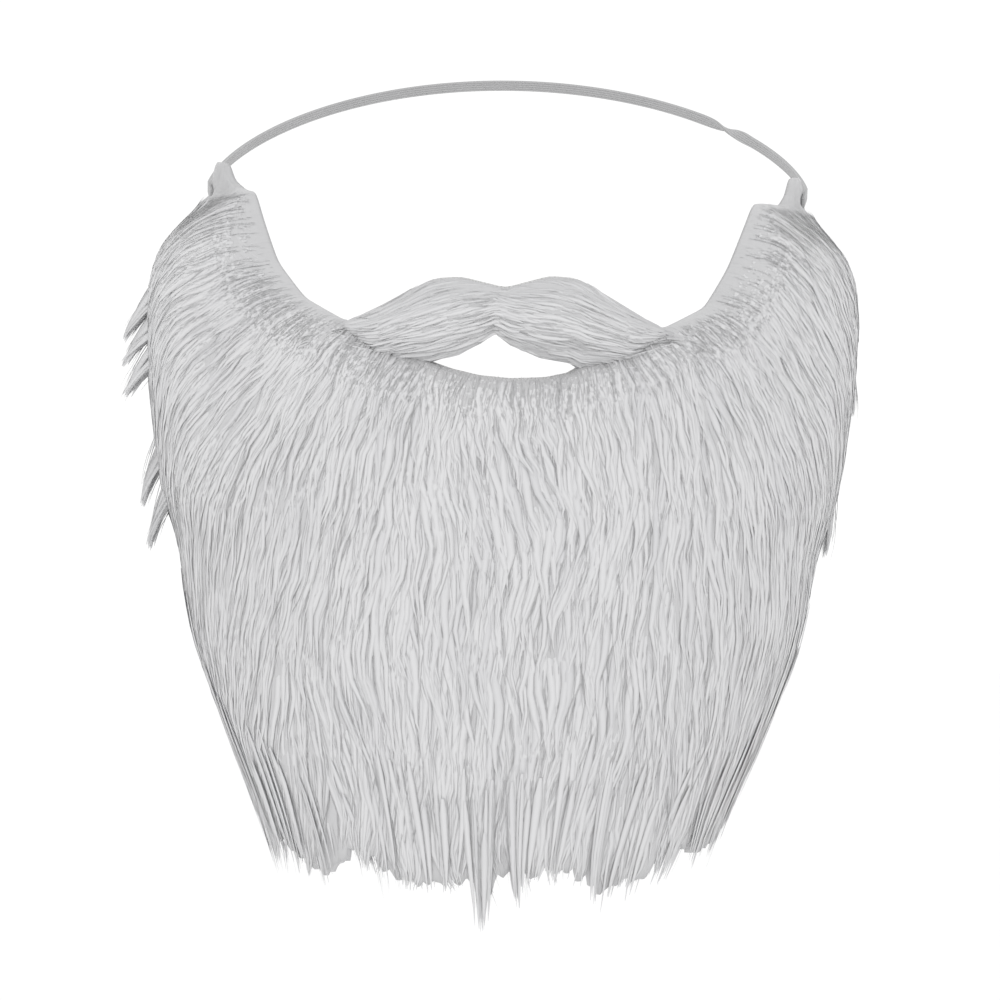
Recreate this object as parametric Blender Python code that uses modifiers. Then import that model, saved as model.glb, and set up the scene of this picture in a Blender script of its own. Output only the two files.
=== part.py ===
"""Fake beard of long pile cloth, in the shape it takes when worn.

A knitted backing wraps the face from one ear tab to the other and has a mouth opening. The beard and
the moustache are pile on that backing, built as locks fused to a bed of fur. A narrow elastic joins
the two ear tabs behind the head.

The origin is the middle of the head between the ears, level with the ear tabs. +Z is up, the beard
faces -Y and the wearer's left ear is at +X. Lengths are in metres and angles in degrees.
"""

import math
from collections import namedtuple

import bmesh
import bpy
from mathutils import Vector

# Cloth and clearances
CLOTH_THICKNESS = 0.0020
GAP = 0.0004
TAB_EDGE_ANGLE = 82.0

# Elastic
ELASTIC_WIDTH = 0.0034
ELASTIC_THICKNESS = 0.0010
ELASTIC_SEWN_ANGLE = 76.5
ELASTIC_BACK_Y = 0.100
ELASTIC_BACK_HEIGHT = 0.0470
ELASTIC_LEAVING_HEIGHT = 0.0066
ELASTIC_TILT = 0.012
ELASTIC_SAG = 1.16
ELASTIC_STATIONS = 60
TWIST_START = 0.74
TWIST_END = 0.83

# Facets of the face form, and how far it reaches past the beard
COLUMN_STEP = 5.0
FORM_TOP = 0.030
FORM_BOTTOM = -0.216
FORM_ROWS = 20

# The face form: a half ellipse in plan at each height, its centre moving forward below the jaw
FaceSection = namedtuple("FaceSection", "height half_width centre_y depth")
FACE_SECTIONS = (
    FaceSection(0.030, 0.0875, 0.000, 0.103),
    FaceSection(0.000, 0.0890, 0.000, 0.106),
    FaceSection(-0.045, 0.0885, 0.000, 0.109),
    FaceSection(-0.085, 0.0850, -0.004, 0.106),
    FaceSection(-0.115, 0.0785, -0.015, 0.094),
    FaceSection(-0.145, 0.0680, -0.028, 0.078),
    FaceSection(-0.175, 0.0570, -0.040, 0.063),
    FaceSection(-0.216, 0.0450, -0.048, 0.051),
)

# Cut edges of the cloth, by angle round the face from the middle of the lip
EdgePoint = namedtuple("EdgePoint", "place angle height")
UPPER_EDGE = (
    EdgePoint("right tab back", -TAB_EDGE_ANGLE, 0.0030),
    EdgePoint("right tongue back", -79.0, 0.0100),
    EdgePoint("right tongue top", -76.0, 0.0115),
    EdgePoint("right tongue front", -71.0, 0.0105),
    EdgePoint("right tongue foot", -66.5, 0.0052),
    EdgePoint("right tab top", -61.0, 0.0020),
    EdgePoint("right tab corner", -57.0, 0.0010),
    EdgePoint("right tab side", -53.8, -0.0070),
    EdgePoint("right tab foot", -48.8, -0.0195),
    EdgePoint("right cheek rise", -41.0, -0.0300),
    EdgePoint("right cheek notch", -31.0, -0.0368),
    EdgePoint("right moustache wing", -22.0, -0.0308),
    EdgePoint("right crest end", -13.0, -0.0236),
    EdgePoint("right moustache crest", -8.0, -0.0230),
    EdgePoint("under nose", 0.0, -0.0258),
    EdgePoint("left moustache crest", 8.0, -0.0222),
    EdgePoint("left crest end", 13.0, -0.0226),
    EdgePoint("left moustache wing", 22.0, -0.0300),
    EdgePoint("left cheek notch", 31.0, -0.0368),
    EdgePoint("left cheek rise", 41.0, -0.0300),
    EdgePoint("left tab foot", 47.0, -0.0185),
    EdgePoint("left tab side", 51.0, -0.0081),
    EdgePoint("left tab corner", 54.8, 0.0010),
    EdgePoint("left tab top", 65.5, 0.0014),
    EdgePoint("left tongue foot", 69.5, 0.0050),
    EdgePoint("left tongue front", 72.5, 0.0100),
    EdgePoint("left tongue top", 76.5, 0.0112),
    EdgePoint("left tongue back", 79.0, 0.0100),
    EdgePoint("left tab back", TAB_EDGE_ANGLE, 0.0030),
)
LOWER_EDGE = (
    EdgePoint("chin", 0.0, -0.160),
    EdgePoint("chin side", 30.0, -0.156),
    EdgePoint("jaw", 50.0, -0.147),
    EdgePoint("jaw back", 70.0, -0.127),
    EdgePoint("under ear", TAB_EDGE_ANGLE, -0.104),
)
# Where moustache and beard part, left to right across the mouth
PARTING = (
    EdgePoint("right notch", -31.0, -0.0368),
    EdgePoint("right wing", -22.0, -0.0448),
    EdgePoint("right mouth corner", -13.3, -0.0474),
    EdgePoint("right lip side", -9.7, -0.0492),
    EdgePoint("right lip", -4.2, -0.0510),
    EdgePoint("lip", 1.3, -0.0516),
    EdgePoint("left lip", 7.6, -0.0511),
    EdgePoint("left lip side", 12.2, -0.0495),
    EdgePoint("left mouth corner", 13.6, -0.0481),
    EdgePoint("left wing", 22.0, -0.0450),
    EdgePoint("left notch", 31.0, -0.0368),
)
MOUTH_TOP = (
    EdgePoint("right mouth corner", -13.3, -0.0474),
    EdgePoint("right moustache fullness", -7.9, -0.0446),
    EdgePoint("right moustache edge", -4.3, -0.0420),
    EdgePoint("peak", -1.6, -0.0390),
    EdgePoint("left moustache edge", 1.1, -0.0421),
    EdgePoint("left edge", 6.6, -0.0455),
    EdgePoint("left moustache fullness", 12.1, -0.0467),
    EdgePoint("left mouth corner", 13.6, -0.0481),
)
NOTCH_ANGLE = 31.0
# The fur hangs below the cloth
FUR_EDGE = (
    EdgePoint("chin", 0.0, -0.189),
    EdgePoint("chin side", 30.0, -0.187),
    EdgePoint("jaw front", 48.0, -0.181),
    EdgePoint("jaw", 60.0, -0.167),
    EdgePoint("jaw back", 72.0, -0.143),
    EdgePoint("under ear", TAB_EDGE_ANGLE, -0.117),
)

# Depth of the pile: beard at the front and at the sides, and moustache
PileDepth = namedtuple("PileDepth", "height front side")
PILE_DEPTHS = (
    PileDepth(0.012, 0.006, 0.0110),
    PileDepth(-0.008, 0.008, 0.0165),
    PileDepth(-0.030, 0.008, 0.0215),
    PileDepth(-0.055, 0.011, 0.0205),
    PileDepth(-0.085, 0.017, 0.0160),
    PileDepth(-0.110, 0.018, 0.0135),
    PileDepth(-0.130, 0.018, 0.0125),
    PileDepth(-0.175, 0.014, 0.0100),
    PileDepth(-0.216, 0.010, 0.0080),
)
BED_SHARE = 0.86
FUR_TOP = -0.0008
MOUSTACHE_PILE = 0.0080
MOUSTACHE_EDGE_PILE = 0.0030

# Rows of beard locks, top to bottom. A cheek row has its count on each cheek, from its first angle
LockRow = namedtuple("LockRow", "height count first spread length width thickness")
BEARD_ROWS = (
    LockRow(-0.010, 1, 72.0, 72.0, 0.036, 0.0150, 0.0070),
    LockRow(-0.030, 2, 46.0, 74.0, 0.040, 0.0150, 0.0070),
    LockRow(-0.056, 9, None, 75.0, 0.044, 0.0160, 0.0075),
    LockRow(-0.076, 10, None, 76.5, 0.044, 0.0160, 0.0080),
    LockRow(-0.097, 10, None, 75.0, 0.044, 0.0160, 0.0080),
    LockRow(-0.118, 11, None, 73.0, 0.044, 0.0155, 0.0080),
    LockRow(-0.139, 11, None, 65.0, 0.044, 0.0145, 0.0075),
)
ROW_HEIGHT_WAVER = 0.005
LOCK_SWAY = 6.5

# Locks that stand out of the beard's side outline, from the root to the tip that the front shows
SideLock = namedtuple("SideLock", "root_angle root_height tip_x tip_height width")
SIDE_LOCKS = (
    SideLock(-80.0, -0.020, -0.1120, -0.0412, 0.0110),
    SideLock(-80.0, -0.030, -0.1120, -0.0490, 0.0090),
    SideLock(-80.0, -0.040, -0.1110, -0.0576, 0.0100),
    SideLock(-80.0, -0.066, -0.1048, -0.0890, 0.0100),
    SideLock(-79.0, -0.076, -0.1018, -0.1015, 0.0120),
    SideLock(80.0, -0.028, 0.1035, -0.0560, 0.0120),
    SideLock(80.0, -0.074, 0.0960, -0.0990, 0.0120),
)

# Locks of the ragged lower edge, rooted in the bed of fur just above that edge
FringeLock = namedtuple("FringeLock", "root_angle tip_x tip_height width")
FRINGE_LOCKS = (
    FringeLock(-80.0, -0.0850, -0.1400, 0.0150),
    FringeLock(-76.0, -0.0800, -0.1540, 0.0160),
    FringeLock(-71.0, -0.0738, -0.1700, 0.0150),
    FringeLock(-65.0, -0.0690, -0.1795, 0.0140),
    FringeLock(-57.0, -0.0640, -0.1875, 0.0160),
    FringeLock(-48.0, -0.0540, -0.1925, 0.0180),
    FringeLock(-38.0, -0.0450, -0.1940, 0.0180),
    FringeLock(-27.0, -0.0290, -0.1935, 0.0180),
    FringeLock(-16.0, -0.0165, -0.1955, 0.0170),
    FringeLock(-4.0, -0.0008, -0.2045, 0.0150),
    FringeLock(6.0, 0.0090, -0.1940, 0.0170),
    FringeLock(17.0, 0.0190, -0.1915, 0.0170),
    FringeLock(28.0, 0.0305, -0.1980, 0.0170),
    FringeLock(39.0, 0.0421, -0.1930, 0.0175),
    FringeLock(51.0, 0.0525, -0.1860, 0.0175),
    FringeLock(60.0, 0.0610, -0.1870, 0.0170),
    FringeLock(68.0, 0.0705, -0.1720, 0.0160),
    FringeLock(75.0, 0.0762, -0.1590, 0.0160),
    FringeLock(80.0, 0.0830, -0.1410, 0.0150),
)
FRINGE_ROOT_RISE = 0.012
OUTLINE_ROOT_DEPTH = 0.56
SWEPT_BACK = 0.35
HANGING_IN = -0.10

# Moustache locks of one side, from the middle outwards
MoustacheLock = namedtuple("MoustacheLock", "angle height heading length width")
MOUSTACHE_LOCKS = (
    MoustacheLock(2.5, -0.0290, 66.0, 0.026, 0.0080),
    MoustacheLock(3.0, -0.0350, 58.0, 0.022, 0.0075),
    MoustacheLock(9.0, -0.0290, 62.0, 0.028, 0.0080),
    MoustacheLock(11.0, -0.0350, 60.0, 0.026, 0.0075),
    MoustacheLock(15.0, -0.0320, 58.0, 0.027, 0.0080),
    MoustacheLock(13.0, -0.0394, 68.0, 0.023, 0.0070),
    MoustacheLock(21.0, -0.0362, 62.0, 0.021, 0.0070),
)
MOUSTACHE_LOCK_THICKNESS = 0.0042

# A lock narrows from its belly to both ends: place along it, share of width, share of thickness
LOCK_PROFILE = ((0.0, 0.80, 0.60), (0.30, 1.0, 1.0), (0.62, 0.78, 0.80), (0.85, 0.42, 0.45))
LOCK_CORNERS = (15.0, 90.0, 165.0, 235.0, 305.0)

WHITE_PILE = (0.78, 0.78, 0.79, 1.0)
CLOTH_WHITE = (0.80, 0.80, 0.80, 1.0)
ELASTIC_GREY = (0.50, 0.50, 0.51, 1.0)


def clear_scene():
    for old in list(bpy.data.objects):
        bpy.data.objects.remove(old, do_unlink=True)


def make_collection(name):
    made = bpy.data.collections.new(name)
    bpy.context.scene.collection.children.link(made)
    return made


def make_material(name, colour, roughness):
    material = bpy.data.materials.new(name)
    material.use_nodes = True
    shader = material.node_tree.nodes["Principled BSDF"]
    shader.inputs["Base Color"].default_value = colour
    shader.inputs["Roughness"].default_value = roughness
    shader.inputs["Metallic"].default_value = 0.0
    return material


def add_object(name, bm, collection, material=None):
    bmesh.ops.recalc_face_normals(bm, faces=bm.faces)
    mesh = bpy.data.meshes.new(name)
    bm.to_mesh(mesh)
    bm.free()
    made = bpy.data.objects.new(name, mesh)
    collection.objects.link(made)
    if material:
        mesh.materials.append(material)
    return made


def mark_cutter(cutter):
    cutter.hide_render = True
    cutter.display_type = "WIRE"
    return cutter


def add_boolean(target, operation, other):
    modifier = target.modifiers.new(operation.title(), "BOOLEAN")
    modifier.operation = operation
    modifier.solver = "EXACT"
    modifier.object = other
    return modifier


def straight(rows, key, value, at):
    """A table's value read by straight lines between its rows, level past its ends."""
    rows = sorted(rows, key=lambda row: getattr(row, key))
    if at <= getattr(rows[0], key):
        return getattr(rows[0], value)
    for low, high in zip(rows, rows[1:]):
        start, end = getattr(low, key), getattr(high, key)
        if at <= end:
            share = (at - start) / (end - start)
            return getattr(low, value) + share * (getattr(high, value) - getattr(low, value))
    return getattr(rows[-1], value)


def smooth(rows, key, value, at, reach):
    """The same value, averaged over a short reach so that the table's corners are rounded."""
    steps = (-1.0, -0.5, 0.0, 0.5, 1.0)
    return sum(straight(rows, key, value, at + reach * step) for step in steps) / len(steps)


def face_point(angle, height, lift):
    """A point at this angle and height, lifted off the face form along its normal."""
    half_width = smooth(FACE_SECTIONS, "height", "half_width", height, 0.012)
    centre_y = smooth(FACE_SECTIONS, "height", "centre_y", height, 0.012)
    depth = smooth(FACE_SECTIONS, "height", "depth", height, 0.012)
    turn = math.radians(angle)
    normal = Vector((math.sin(turn) / half_width, -math.cos(turn) / depth, 0.0)).normalized()
    place = Vector((half_width * math.sin(turn), centre_y - depth * math.cos(turn), height))
    return place + normal * lift


def face_normal(angle, height):
    return (face_point(angle, height, 0.01) - face_point(angle, height, 0.0)).normalized()


def upper_edge(angle):
    return straight(UPPER_EDGE, "angle", "height", angle)


def lower_edge(angle):
    return smooth(LOWER_EDGE, "angle", "height", abs(angle), 5.0)


def fur_edge(angle):
    return smooth(FUR_EDGE, "angle", "height", abs(angle), 4.0)


def parting(angle):
    return straight(PARTING, "angle", "height", angle)


def mouth_top(angle):
    return straight(MOUTH_TOP, "angle", "height", angle)


def pile_depth(angle, height):
    """The beard's pile is read between its depth at the front and at the sides."""
    sideways = min(abs(angle) / 75.0, 1.0) ** 1.5
    front = smooth(PILE_DEPTHS, "height", "front", height, 0.008)
    side = smooth(PILE_DEPTHS, "height", "side", height, 0.008)
    return front + sideways * (side - front)


def angles_between(first, last, step=COLUMN_STEP):
    """Column angles on the form's own facets, with the two ends added."""
    inner = [step * k for k in range(math.ceil(first / step), math.floor(last / step) + 1)]
    inner = [angle for angle in inner if first + 0.8 < angle < last - 0.8]
    return [first] + inner + [last]


def sheet_grid(angles, bottom, top, rows, lift):
    """An open sheet over the face form, its rows shared out between a bottom and a top edge."""
    bm = bmesh.new()
    grid = []
    for angle in angles:
        low, high = bottom(angle), top(angle)
        column = []
        for row in range(rows + 1):
            height = low + (high - low) * row / rows
            column.append(bm.verts.new(face_point(angle, height, lift)))
        grid.append(column)
    for left, right in zip(grid, grid[1:]):
        for row in range(rows):
            bm.faces.new((left[row], right[row], right[row + 1], left[row + 1]))
    return bm, grid


def outward_sheet(name, grid_data, collection, thickness, shares=None, material=None):
    """A sheet thickened away from the face. Shares scale the thickness corner by corner."""
    bm, grid = grid_data
    for vert_index, vert in enumerate(vert for column in grid for vert in column):
        vert.index = vert_index
    bm.normal_update()
    mesh = bpy.data.meshes.new(name)
    bm.to_mesh(mesh)
    bm.free()
    sheet = bpy.data.objects.new(name, mesh)
    collection.objects.link(sheet)
    if material:
        mesh.materials.append(material)
    solidify = sheet.modifiers.new("Thickness", "SOLIDIFY")
    solidify.thickness = thickness
    solidify.offset = 1.0
    if shares:
        group = sheet.vertex_groups.new(name="thickness")
        for vert_index, share in enumerate(shares):
            group.add([vert_index], share, "REPLACE")
        solidify.vertex_group = "thickness"
    return sheet


def zone_solid(name, angles, bottom, top, rows, lift_in, lift_out, collection):
    """A closed block standing on the face form, used to cut the fur."""
    bm = bmesh.new()
    rings = []
    for angle in angles:
        low, high = bottom(angle), top(angle)
        inner = [low + (high - low) * row / rows for row in range(rows + 1)]
        ring = [face_point(angle, height, lift_in) for height in inner]
        ring += [face_point(angle, height, lift_out) for height in reversed(inner)]
        rings.append([bm.verts.new(point) for point in ring])
    for left, right in zip(rings, rings[1:]):
        for k in range(len(left)):
            n = (k + 1) % len(left)
            bm.faces.new((left[k], right[k], right[n], left[n]))
    bm.faces.new(rings[0])
    bm.faces.new(rings[-1])
    return mark_cutter(add_object(name, bm, collection))


def face_form(collection):
    """The closed form of the wearer's face, a gap outside the cloth, that hollows the fur."""
    bm = bmesh.new()
    rings = []
    for row in range(FORM_ROWS + 1):
        height = FORM_BOTTOM + (FORM_TOP - FORM_BOTTOM) * row / FORM_ROWS
        columns = round(360.0 / COLUMN_STEP)
        ring = [face_point(k * COLUMN_STEP, height, GAP) for k in range(columns)]
        rings.append([bm.verts.new(point) for point in ring])
    for low, high in zip(rings, rings[1:]):
        for k in range(len(low)):
            n = (k + 1) % len(low)
            bm.faces.new((low[k], low[n], high[n], high[k]))
    bm.faces.new(rings[0])
    bm.faces.new(rings[-1])
    return mark_cutter(add_object("face_form", bm, collection))


def mouth_cutter(collection):
    """A flat outline of the mouth opening, extruded through the cloth."""
    corners = angles_between(MOUTH_TOP[0].angle, MOUTH_TOP[-1].angle, 3.0)
    over = [face_point(angle, mouth_top(angle), 0.0) for angle in corners]
    under = [face_point(angle, parting(angle), 0.0) for angle in reversed(corners[1:-1])]
    curve = bpy.data.curves.new("mouth_outline", "CURVE")
    curve.dimensions = "2D"
    curve.fill_mode = "BOTH"
    curve.extrude = 0.030
    spline = curve.splines.new("POLY")
    spline.points.add(len(over + under) - 1)
    for point, place in zip(spline.points, over + under):
        point.co = (place.x, place.z, 0.0, 1.0)
    spline.use_cyclic_u = True
    outline = bpy.data.objects.new("mouth_outline", curve)
    outline.rotation_euler = (math.radians(90.0), 0.0, 0.0)
    outline.location = (0.0, -0.105, 0.0)
    collection.objects.link(outline)
    bpy.context.view_layer.update()
    evaluated = outline.evaluated_get(bpy.context.evaluated_depsgraph_get())
    mesh = bpy.data.meshes.new_from_object(evaluated)
    bm = bmesh.new()
    bm.from_mesh(mesh)
    bmesh.ops.remove_doubles(bm, verts=bm.verts, dist=0.00001)
    cutter = add_object("mouth_cutter", bm, collection)
    cutter.matrix_world = outline.matrix_world.copy()
    bpy.data.objects.remove(outline)
    return mark_cutter(cutter)


def groom_heading(angle, height):
    """Which way the beard's pile lies: 0 is straight down, and 90 is back towards the ear."""
    sideways = min(max((abs(angle) - 18.0) / 50.0, 0.0), 1.0)
    upwards = min(max((height + 0.125) / 0.095, 0.0), 1.0)
    heading = sideways * (12.0 + 50.0 * upwards ** 1.4)
    return math.copysign(heading, angle)


def walk_down(angle, height, length, steps, heading, lift_from, lift_to):
    """Points along a lock that lies on the fur, from its root to its tip."""
    points, normals = [], []
    for step in range(steps + 1):
        along = step / steps
        lift = lift_from + (lift_to - lift_from) * along
        points.append(face_point(angle, height, lift))
        normals.append(face_normal(angle, height))
        turn = math.radians(heading(angle, height))
        per_degree = (face_point(angle + 0.5, height, lift) - face_point(angle - 0.5, height, lift)).length
        angle += math.sin(turn) * length / steps / per_degree
        height -= math.cos(turn) * length / steps
    return points, normals


def at_share(points, share):
    """The place a share of the way along a run of evenly spaced points."""
    where = share * (len(points) - 1)
    index = min(int(where), len(points) - 2)
    return points[index].lerp(points[index + 1], where - index)


def add_lock(bm, points, normals, width, thickness):
    """A flattened, tapering lock with a blunt root and a pointed tip."""
    rings = []
    for along, wide, thick in LOCK_PROFILE:
        centre = at_share(points, along)
        ahead = at_share(points, min(along + 0.1, 1.0)) - at_share(points, max(along - 0.1, 0.0))
        outward = at_share(normals, along).normalized()
        sideways = ahead.cross(outward).normalized()
        outward = sideways.cross(ahead).normalized()
        ring = []
        for corner in LOCK_CORNERS:
            turn = math.radians(corner)
            offset = sideways * (0.5 * width * wide * math.cos(turn))
            offset += outward * (0.5 * thickness * thick * math.sin(turn))
            ring.append(bm.verts.new(centre + offset))
        rings.append(ring)
    tip = bm.verts.new(points[-1])
    bm.faces.new(rings[0])
    for first, second in zip(rings, rings[1:]):
        for k in range(len(LOCK_CORNERS)):
            n = (k + 1) % len(LOCK_CORNERS)
            bm.faces.new((first[k], first[n], second[n], second[k]))
    for k in range(len(LOCK_CORNERS)):
        bm.faces.new((rings[-1][k], rings[-1][(k + 1) % len(LOCK_CORNERS)], tip))


def lock_angles(row, row_index):
    """Angles of one row's locks. A row with a first angle has its locks on the two cheeks only."""
    if row.first is None:
        shift = 0.5 * (row_index % 2)
        return [row.spread * (2.0 * (k + shift) / (row.count - 0.5) - 1.0) for k in range(row.count)]
    cheek = [row.first, row.spread][-row.count :]
    return [-angle for angle in reversed(cheek)] + cheek


def beard_locks(collection):
    """Rows of overlapping locks, and the locks of the ragged outline."""
    bm = bmesh.new()
    for row_index, row in enumerate(BEARD_ROWS):
        for place, angle in enumerate(lock_angles(row, row_index)):
            height = row.height + ROW_HEIGHT_WAVER * math.sin(2.3 * place + 1.7 * row_index)
            lean = LOCK_SWAY * math.sin(1.9 * place + 2.9 * row_index)
            depth = pile_depth(angle, height)

            def heading(now, at, lean=lean):
                return groom_heading(now, at) + lean

            points, normals = walk_down(angle, height, row.length, 6, heading, 0.50 * depth, depth)
            add_lock(bm, points, normals, row.width, row.thickness)
    for lock in SIDE_LOCKS:
        add_outline_lock(bm, lock, lock.root_height)
    for lock in FRINGE_LOCKS:
        add_outline_lock(bm, lock, fur_edge(lock.root_angle) + FRINGE_ROOT_RISE)
    return mark_cutter(add_object("beard_locks", bm, collection))


def add_outline_lock(bm, lock, root_height):
    """A lock whose tip is placed by where the front view shows it."""
    depth = pile_depth(lock.root_angle, root_height)
    root = face_point(lock.root_angle, root_height, OUTLINE_ROOT_DEPTH * depth)
    outward = face_normal(lock.root_angle, root_height)
    hang = root.z - lock.tip_height
    sweep = SWEPT_BACK if isinstance(lock, SideLock) else HANGING_IN
    tip = Vector((lock.tip_x, root.y + sweep * hang * abs(outward.x), lock.tip_height))
    middle = root.lerp(tip, 0.5) + outward * 0.003
    points = [root, root.lerp(middle, 0.55) + outward * 0.001, middle]
    points += [middle.lerp(tip, 0.5) + outward * 0.001, tip]
    add_lock(bm, points, [outward] * len(points), lock.width, 0.6 * lock.width)


def build_beard(parts, helpers, form, material):
    """The bed of fur below the moustache and up both cheeks, with its locks fused on."""

    def top(angle):
        inside = abs(angle) < NOTCH_ANGLE
        edge = parting(angle) if inside else min(upper_edge(angle), FUR_TOP)
        return edge - 0.0010

    rows = 12
    angles = angles_between(-TAB_EDGE_ANGLE + 1.0, TAB_EDGE_ANGLE - 1.0)
    shares = []
    for angle in angles:
        for row in range(rows + 1):
            height = fur_edge(angle) + (top(angle) - fur_edge(angle)) * row / rows
            inward = min((rows - row) / 1.5, (row + 1.2) / 2.0, 1.0)
            side_in = min(0.76 + (TAB_EDGE_ANGLE - abs(angle)) / 22.0, 1.0)
            depth = BED_SHARE * pile_depth(angle, height) * (0.45 + 0.55 * max(inward, 0.0)) * side_in
            shares.append(depth / 0.020)
    grid = sheet_grid(angles, fur_edge, top, rows, -0.0005)
    beard = outward_sheet("beard_fur", grid, parts, 0.020, shares, material)
    union = add_boolean(beard, "UNION", beard_locks(helpers))
    union.use_self = True
    add_boolean(beard, "DIFFERENCE", form)
    zone = zone_solid(
        "beard_clearance",
        angles_between(-NOTCH_ANGLE - 0.3, NOTCH_ANGLE + 0.3),
        lambda angle: parting(angle) - GAP,
        lambda angle: 0.010,
        2,
        -0.010,
        0.060,
        helpers,
    )
    add_boolean(beard, "DIFFERENCE", zone)
    return beard


def build_moustache(parts, helpers, form, material):
    """Two wings of shorter pile that meet under the nose."""

    def top(angle):
        return upper_edge(angle) - 0.0005

    def bottom(angle):
        in_mouth = MOUTH_TOP[0].angle < angle < MOUTH_TOP[-1].angle
        edge = mouth_top(angle) if in_mouth else parting(angle)
        return min(edge + GAP, top(angle) - 0.0030)

    rows = 6
    angles = angles_between(-NOTCH_ANGLE + 0.6, NOTCH_ANGLE - 0.6, 3.0)
    shares = []
    for angle in angles:
        for row in range(rows + 1):
            crown = math.sin(math.pi * row / rows) ** 0.6
            fullness = 0.72 + 0.28 * min(abs(angle) / 10.0, 1.0)
            depth = MOUSTACHE_EDGE_PILE + (MOUSTACHE_PILE * fullness - MOUSTACHE_EDGE_PILE) * crown
            shares.append(depth / 0.010)
    grid = sheet_grid(angles, bottom, top, rows, -0.0005)
    moustache = outward_sheet("moustache_fur", grid, parts, 0.010, shares, material)

    bm = bmesh.new()
    for side in (-1.0, 1.0):
        for lock in MOUSTACHE_LOCKS:
            points, normals = walk_down(
                side * lock.angle,
                lock.height,
                lock.length,
                6,
                lambda angle, height, lock=lock, side=side: side * lock.heading,
                0.5 * MOUSTACHE_PILE,
                MOUSTACHE_PILE - 0.0005,
            )
            add_lock(bm, points, normals, lock.width, MOUSTACHE_LOCK_THICKNESS)
    locks = mark_cutter(add_object("moustache_locks", bm, helpers))
    union = add_boolean(moustache, "UNION", locks)
    union.use_self = True
    add_boolean(moustache, "DIFFERENCE", form)
    zone = zone_solid(
        "moustache_zone",
        angles_between(-NOTCH_ANGLE + 0.3, NOTCH_ANGLE - 0.3),
        parting,
        lambda angle: 0.010,
        2,
        -0.010,
        0.060,
        helpers,
    )
    add_boolean(moustache, "INTERSECT", zone)
    return moustache


def build_backing(parts, helpers, material):
    """The knitted cloth, cut with two ear tabs, a moustache strip and a mouth opening."""
    angles = angles_between(-TAB_EDGE_ANGLE, TAB_EDGE_ANGLE)
    grid = sheet_grid(angles, lower_edge, upper_edge, 9, -CLOTH_THICKNESS)
    backing = outward_sheet("backing_cloth", grid, parts, CLOTH_THICKNESS, None, material)
    add_boolean(backing, "DIFFERENCE", mouth_cutter(helpers))
    return backing


def elastic_path():
    """Stations along the elastic: place, direction and twist. Its two ends lie on the ear tabs."""
    lift = GAP + 0.5 * ELASTIC_THICKNESS
    leaving = face_point(TAB_EDGE_ANGLE, ELASTIC_LEAVING_HEIGHT, lift)
    behind = Vector((0.0, ELASTIC_BACK_Y - leaving.y, ELASTIC_BACK_HEIGHT - leaving.z))
    slope = behind.z / behind.y
    sewn = []
    for step in range(4):
        angle = ELASTIC_SEWN_ANGLE + (TAB_EDGE_ANGLE - ELASTIC_SEWN_ANGLE) * step / 4
        place = face_point(angle, leaving.z, lift)
        sewn.append(face_point(angle, leaving.z + slope * (place.y - leaving.y), lift))
    path = []
    for place, ahead in zip(sewn, sewn[1:] + [leaving]):
        along = (ahead - place).normalized()
        path.append((Vector((-place.x, place.y, place.z)), Vector((-along.x, along.y, along.z)), 0.0))
    for step in range(ELASTIC_STATIONS + 1):
        share = step / ELASTIC_STATIONS
        turn = math.pi * share
        place = Vector((-leaving.x * math.cos(turn), leaving.y + behind.y * math.sin(turn), leaving.z))
        place.z += behind.z * max(math.sin(turn), 0.0) ** ELASTIC_SAG
        along = Vector((leaving.x * math.sin(turn), 0.0, 0.0)) + behind * math.cos(turn)
        turned = min(max((share - TWIST_START) / (TWIST_END - TWIST_START), 0.0), 1.0)
        path.append((place, along.normalized(), math.pi * turned * turned * (3.0 - 2.0 * turned)))
    for place, (_, along, _) in zip(reversed(sewn), reversed(path[: len(sewn)])):
        path.append((place, Vector((along.x, -along.y, -along.z)), math.pi))
    for place, _, _ in path:
        place.z += ELASTIC_TILT * place.x
    return path, Vector((0.0, -slope, 1.0)).normalized()


def build_elastic(parts, material):
    """A flat elastic, sewn to the outside of both tabs and turned over once on its way round."""
    path, across = elastic_path()
    bm = bmesh.new()
    rings = []
    for place, along, twist in path:
        outward = along.cross(across).normalized()
        wide = across * math.cos(twist) + outward * math.sin(twist)
        thin = along.cross(wide).normalized()
        half_width, half_thick = 0.5 * ELASTIC_WIDTH, 0.5 * ELASTIC_THICKNESS
        corners = ((1, 0), (0.86, 1), (-0.86, 1), (-1, 0), (-0.86, -1), (0.86, -1))
        ring = [place + wide * (half_width * w) + thin * (half_thick * t) for w, t in corners]
        rings.append([bm.verts.new(point) for point in ring])
    for first, second in zip(rings, rings[1:]):
        for k in range(len(first)):
            n = (k + 1) % len(first)
            bm.faces.new((first[k], first[n], second[n], second[k]))
    bm.faces.new(rings[0])
    bm.faces.new(rings[-1])
    return add_object("elastic_strap", bm, parts, material)


def build():
    clear_scene()
    parts = make_collection("fake_beard")
    helpers = make_collection("cutters")
    pile = make_material("white_pile", WHITE_PILE, 0.85)
    cloth = make_material("white_cloth", CLOTH_WHITE, 0.90)
    elastic = make_material("grey_elastic", ELASTIC_GREY, 0.75)
    form = face_form(helpers)
    build_backing(parts, helpers, cloth)
    build_beard(parts, helpers, form, pile)
    build_moustache(parts, helpers, form, pile)
    build_elastic(parts, elastic)


build()
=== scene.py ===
"""Looks of the fake beard: long pile, moustache, knitted backing and elastic, with a stage.

Lengths are in metres and angles in degrees. The beard faces -Y, +Z is up and the wearer's left ear is
at +X. Places on the beard are given by an angle round the face from the middle of the lip, a height,
and a lift off the face.
"""

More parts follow.
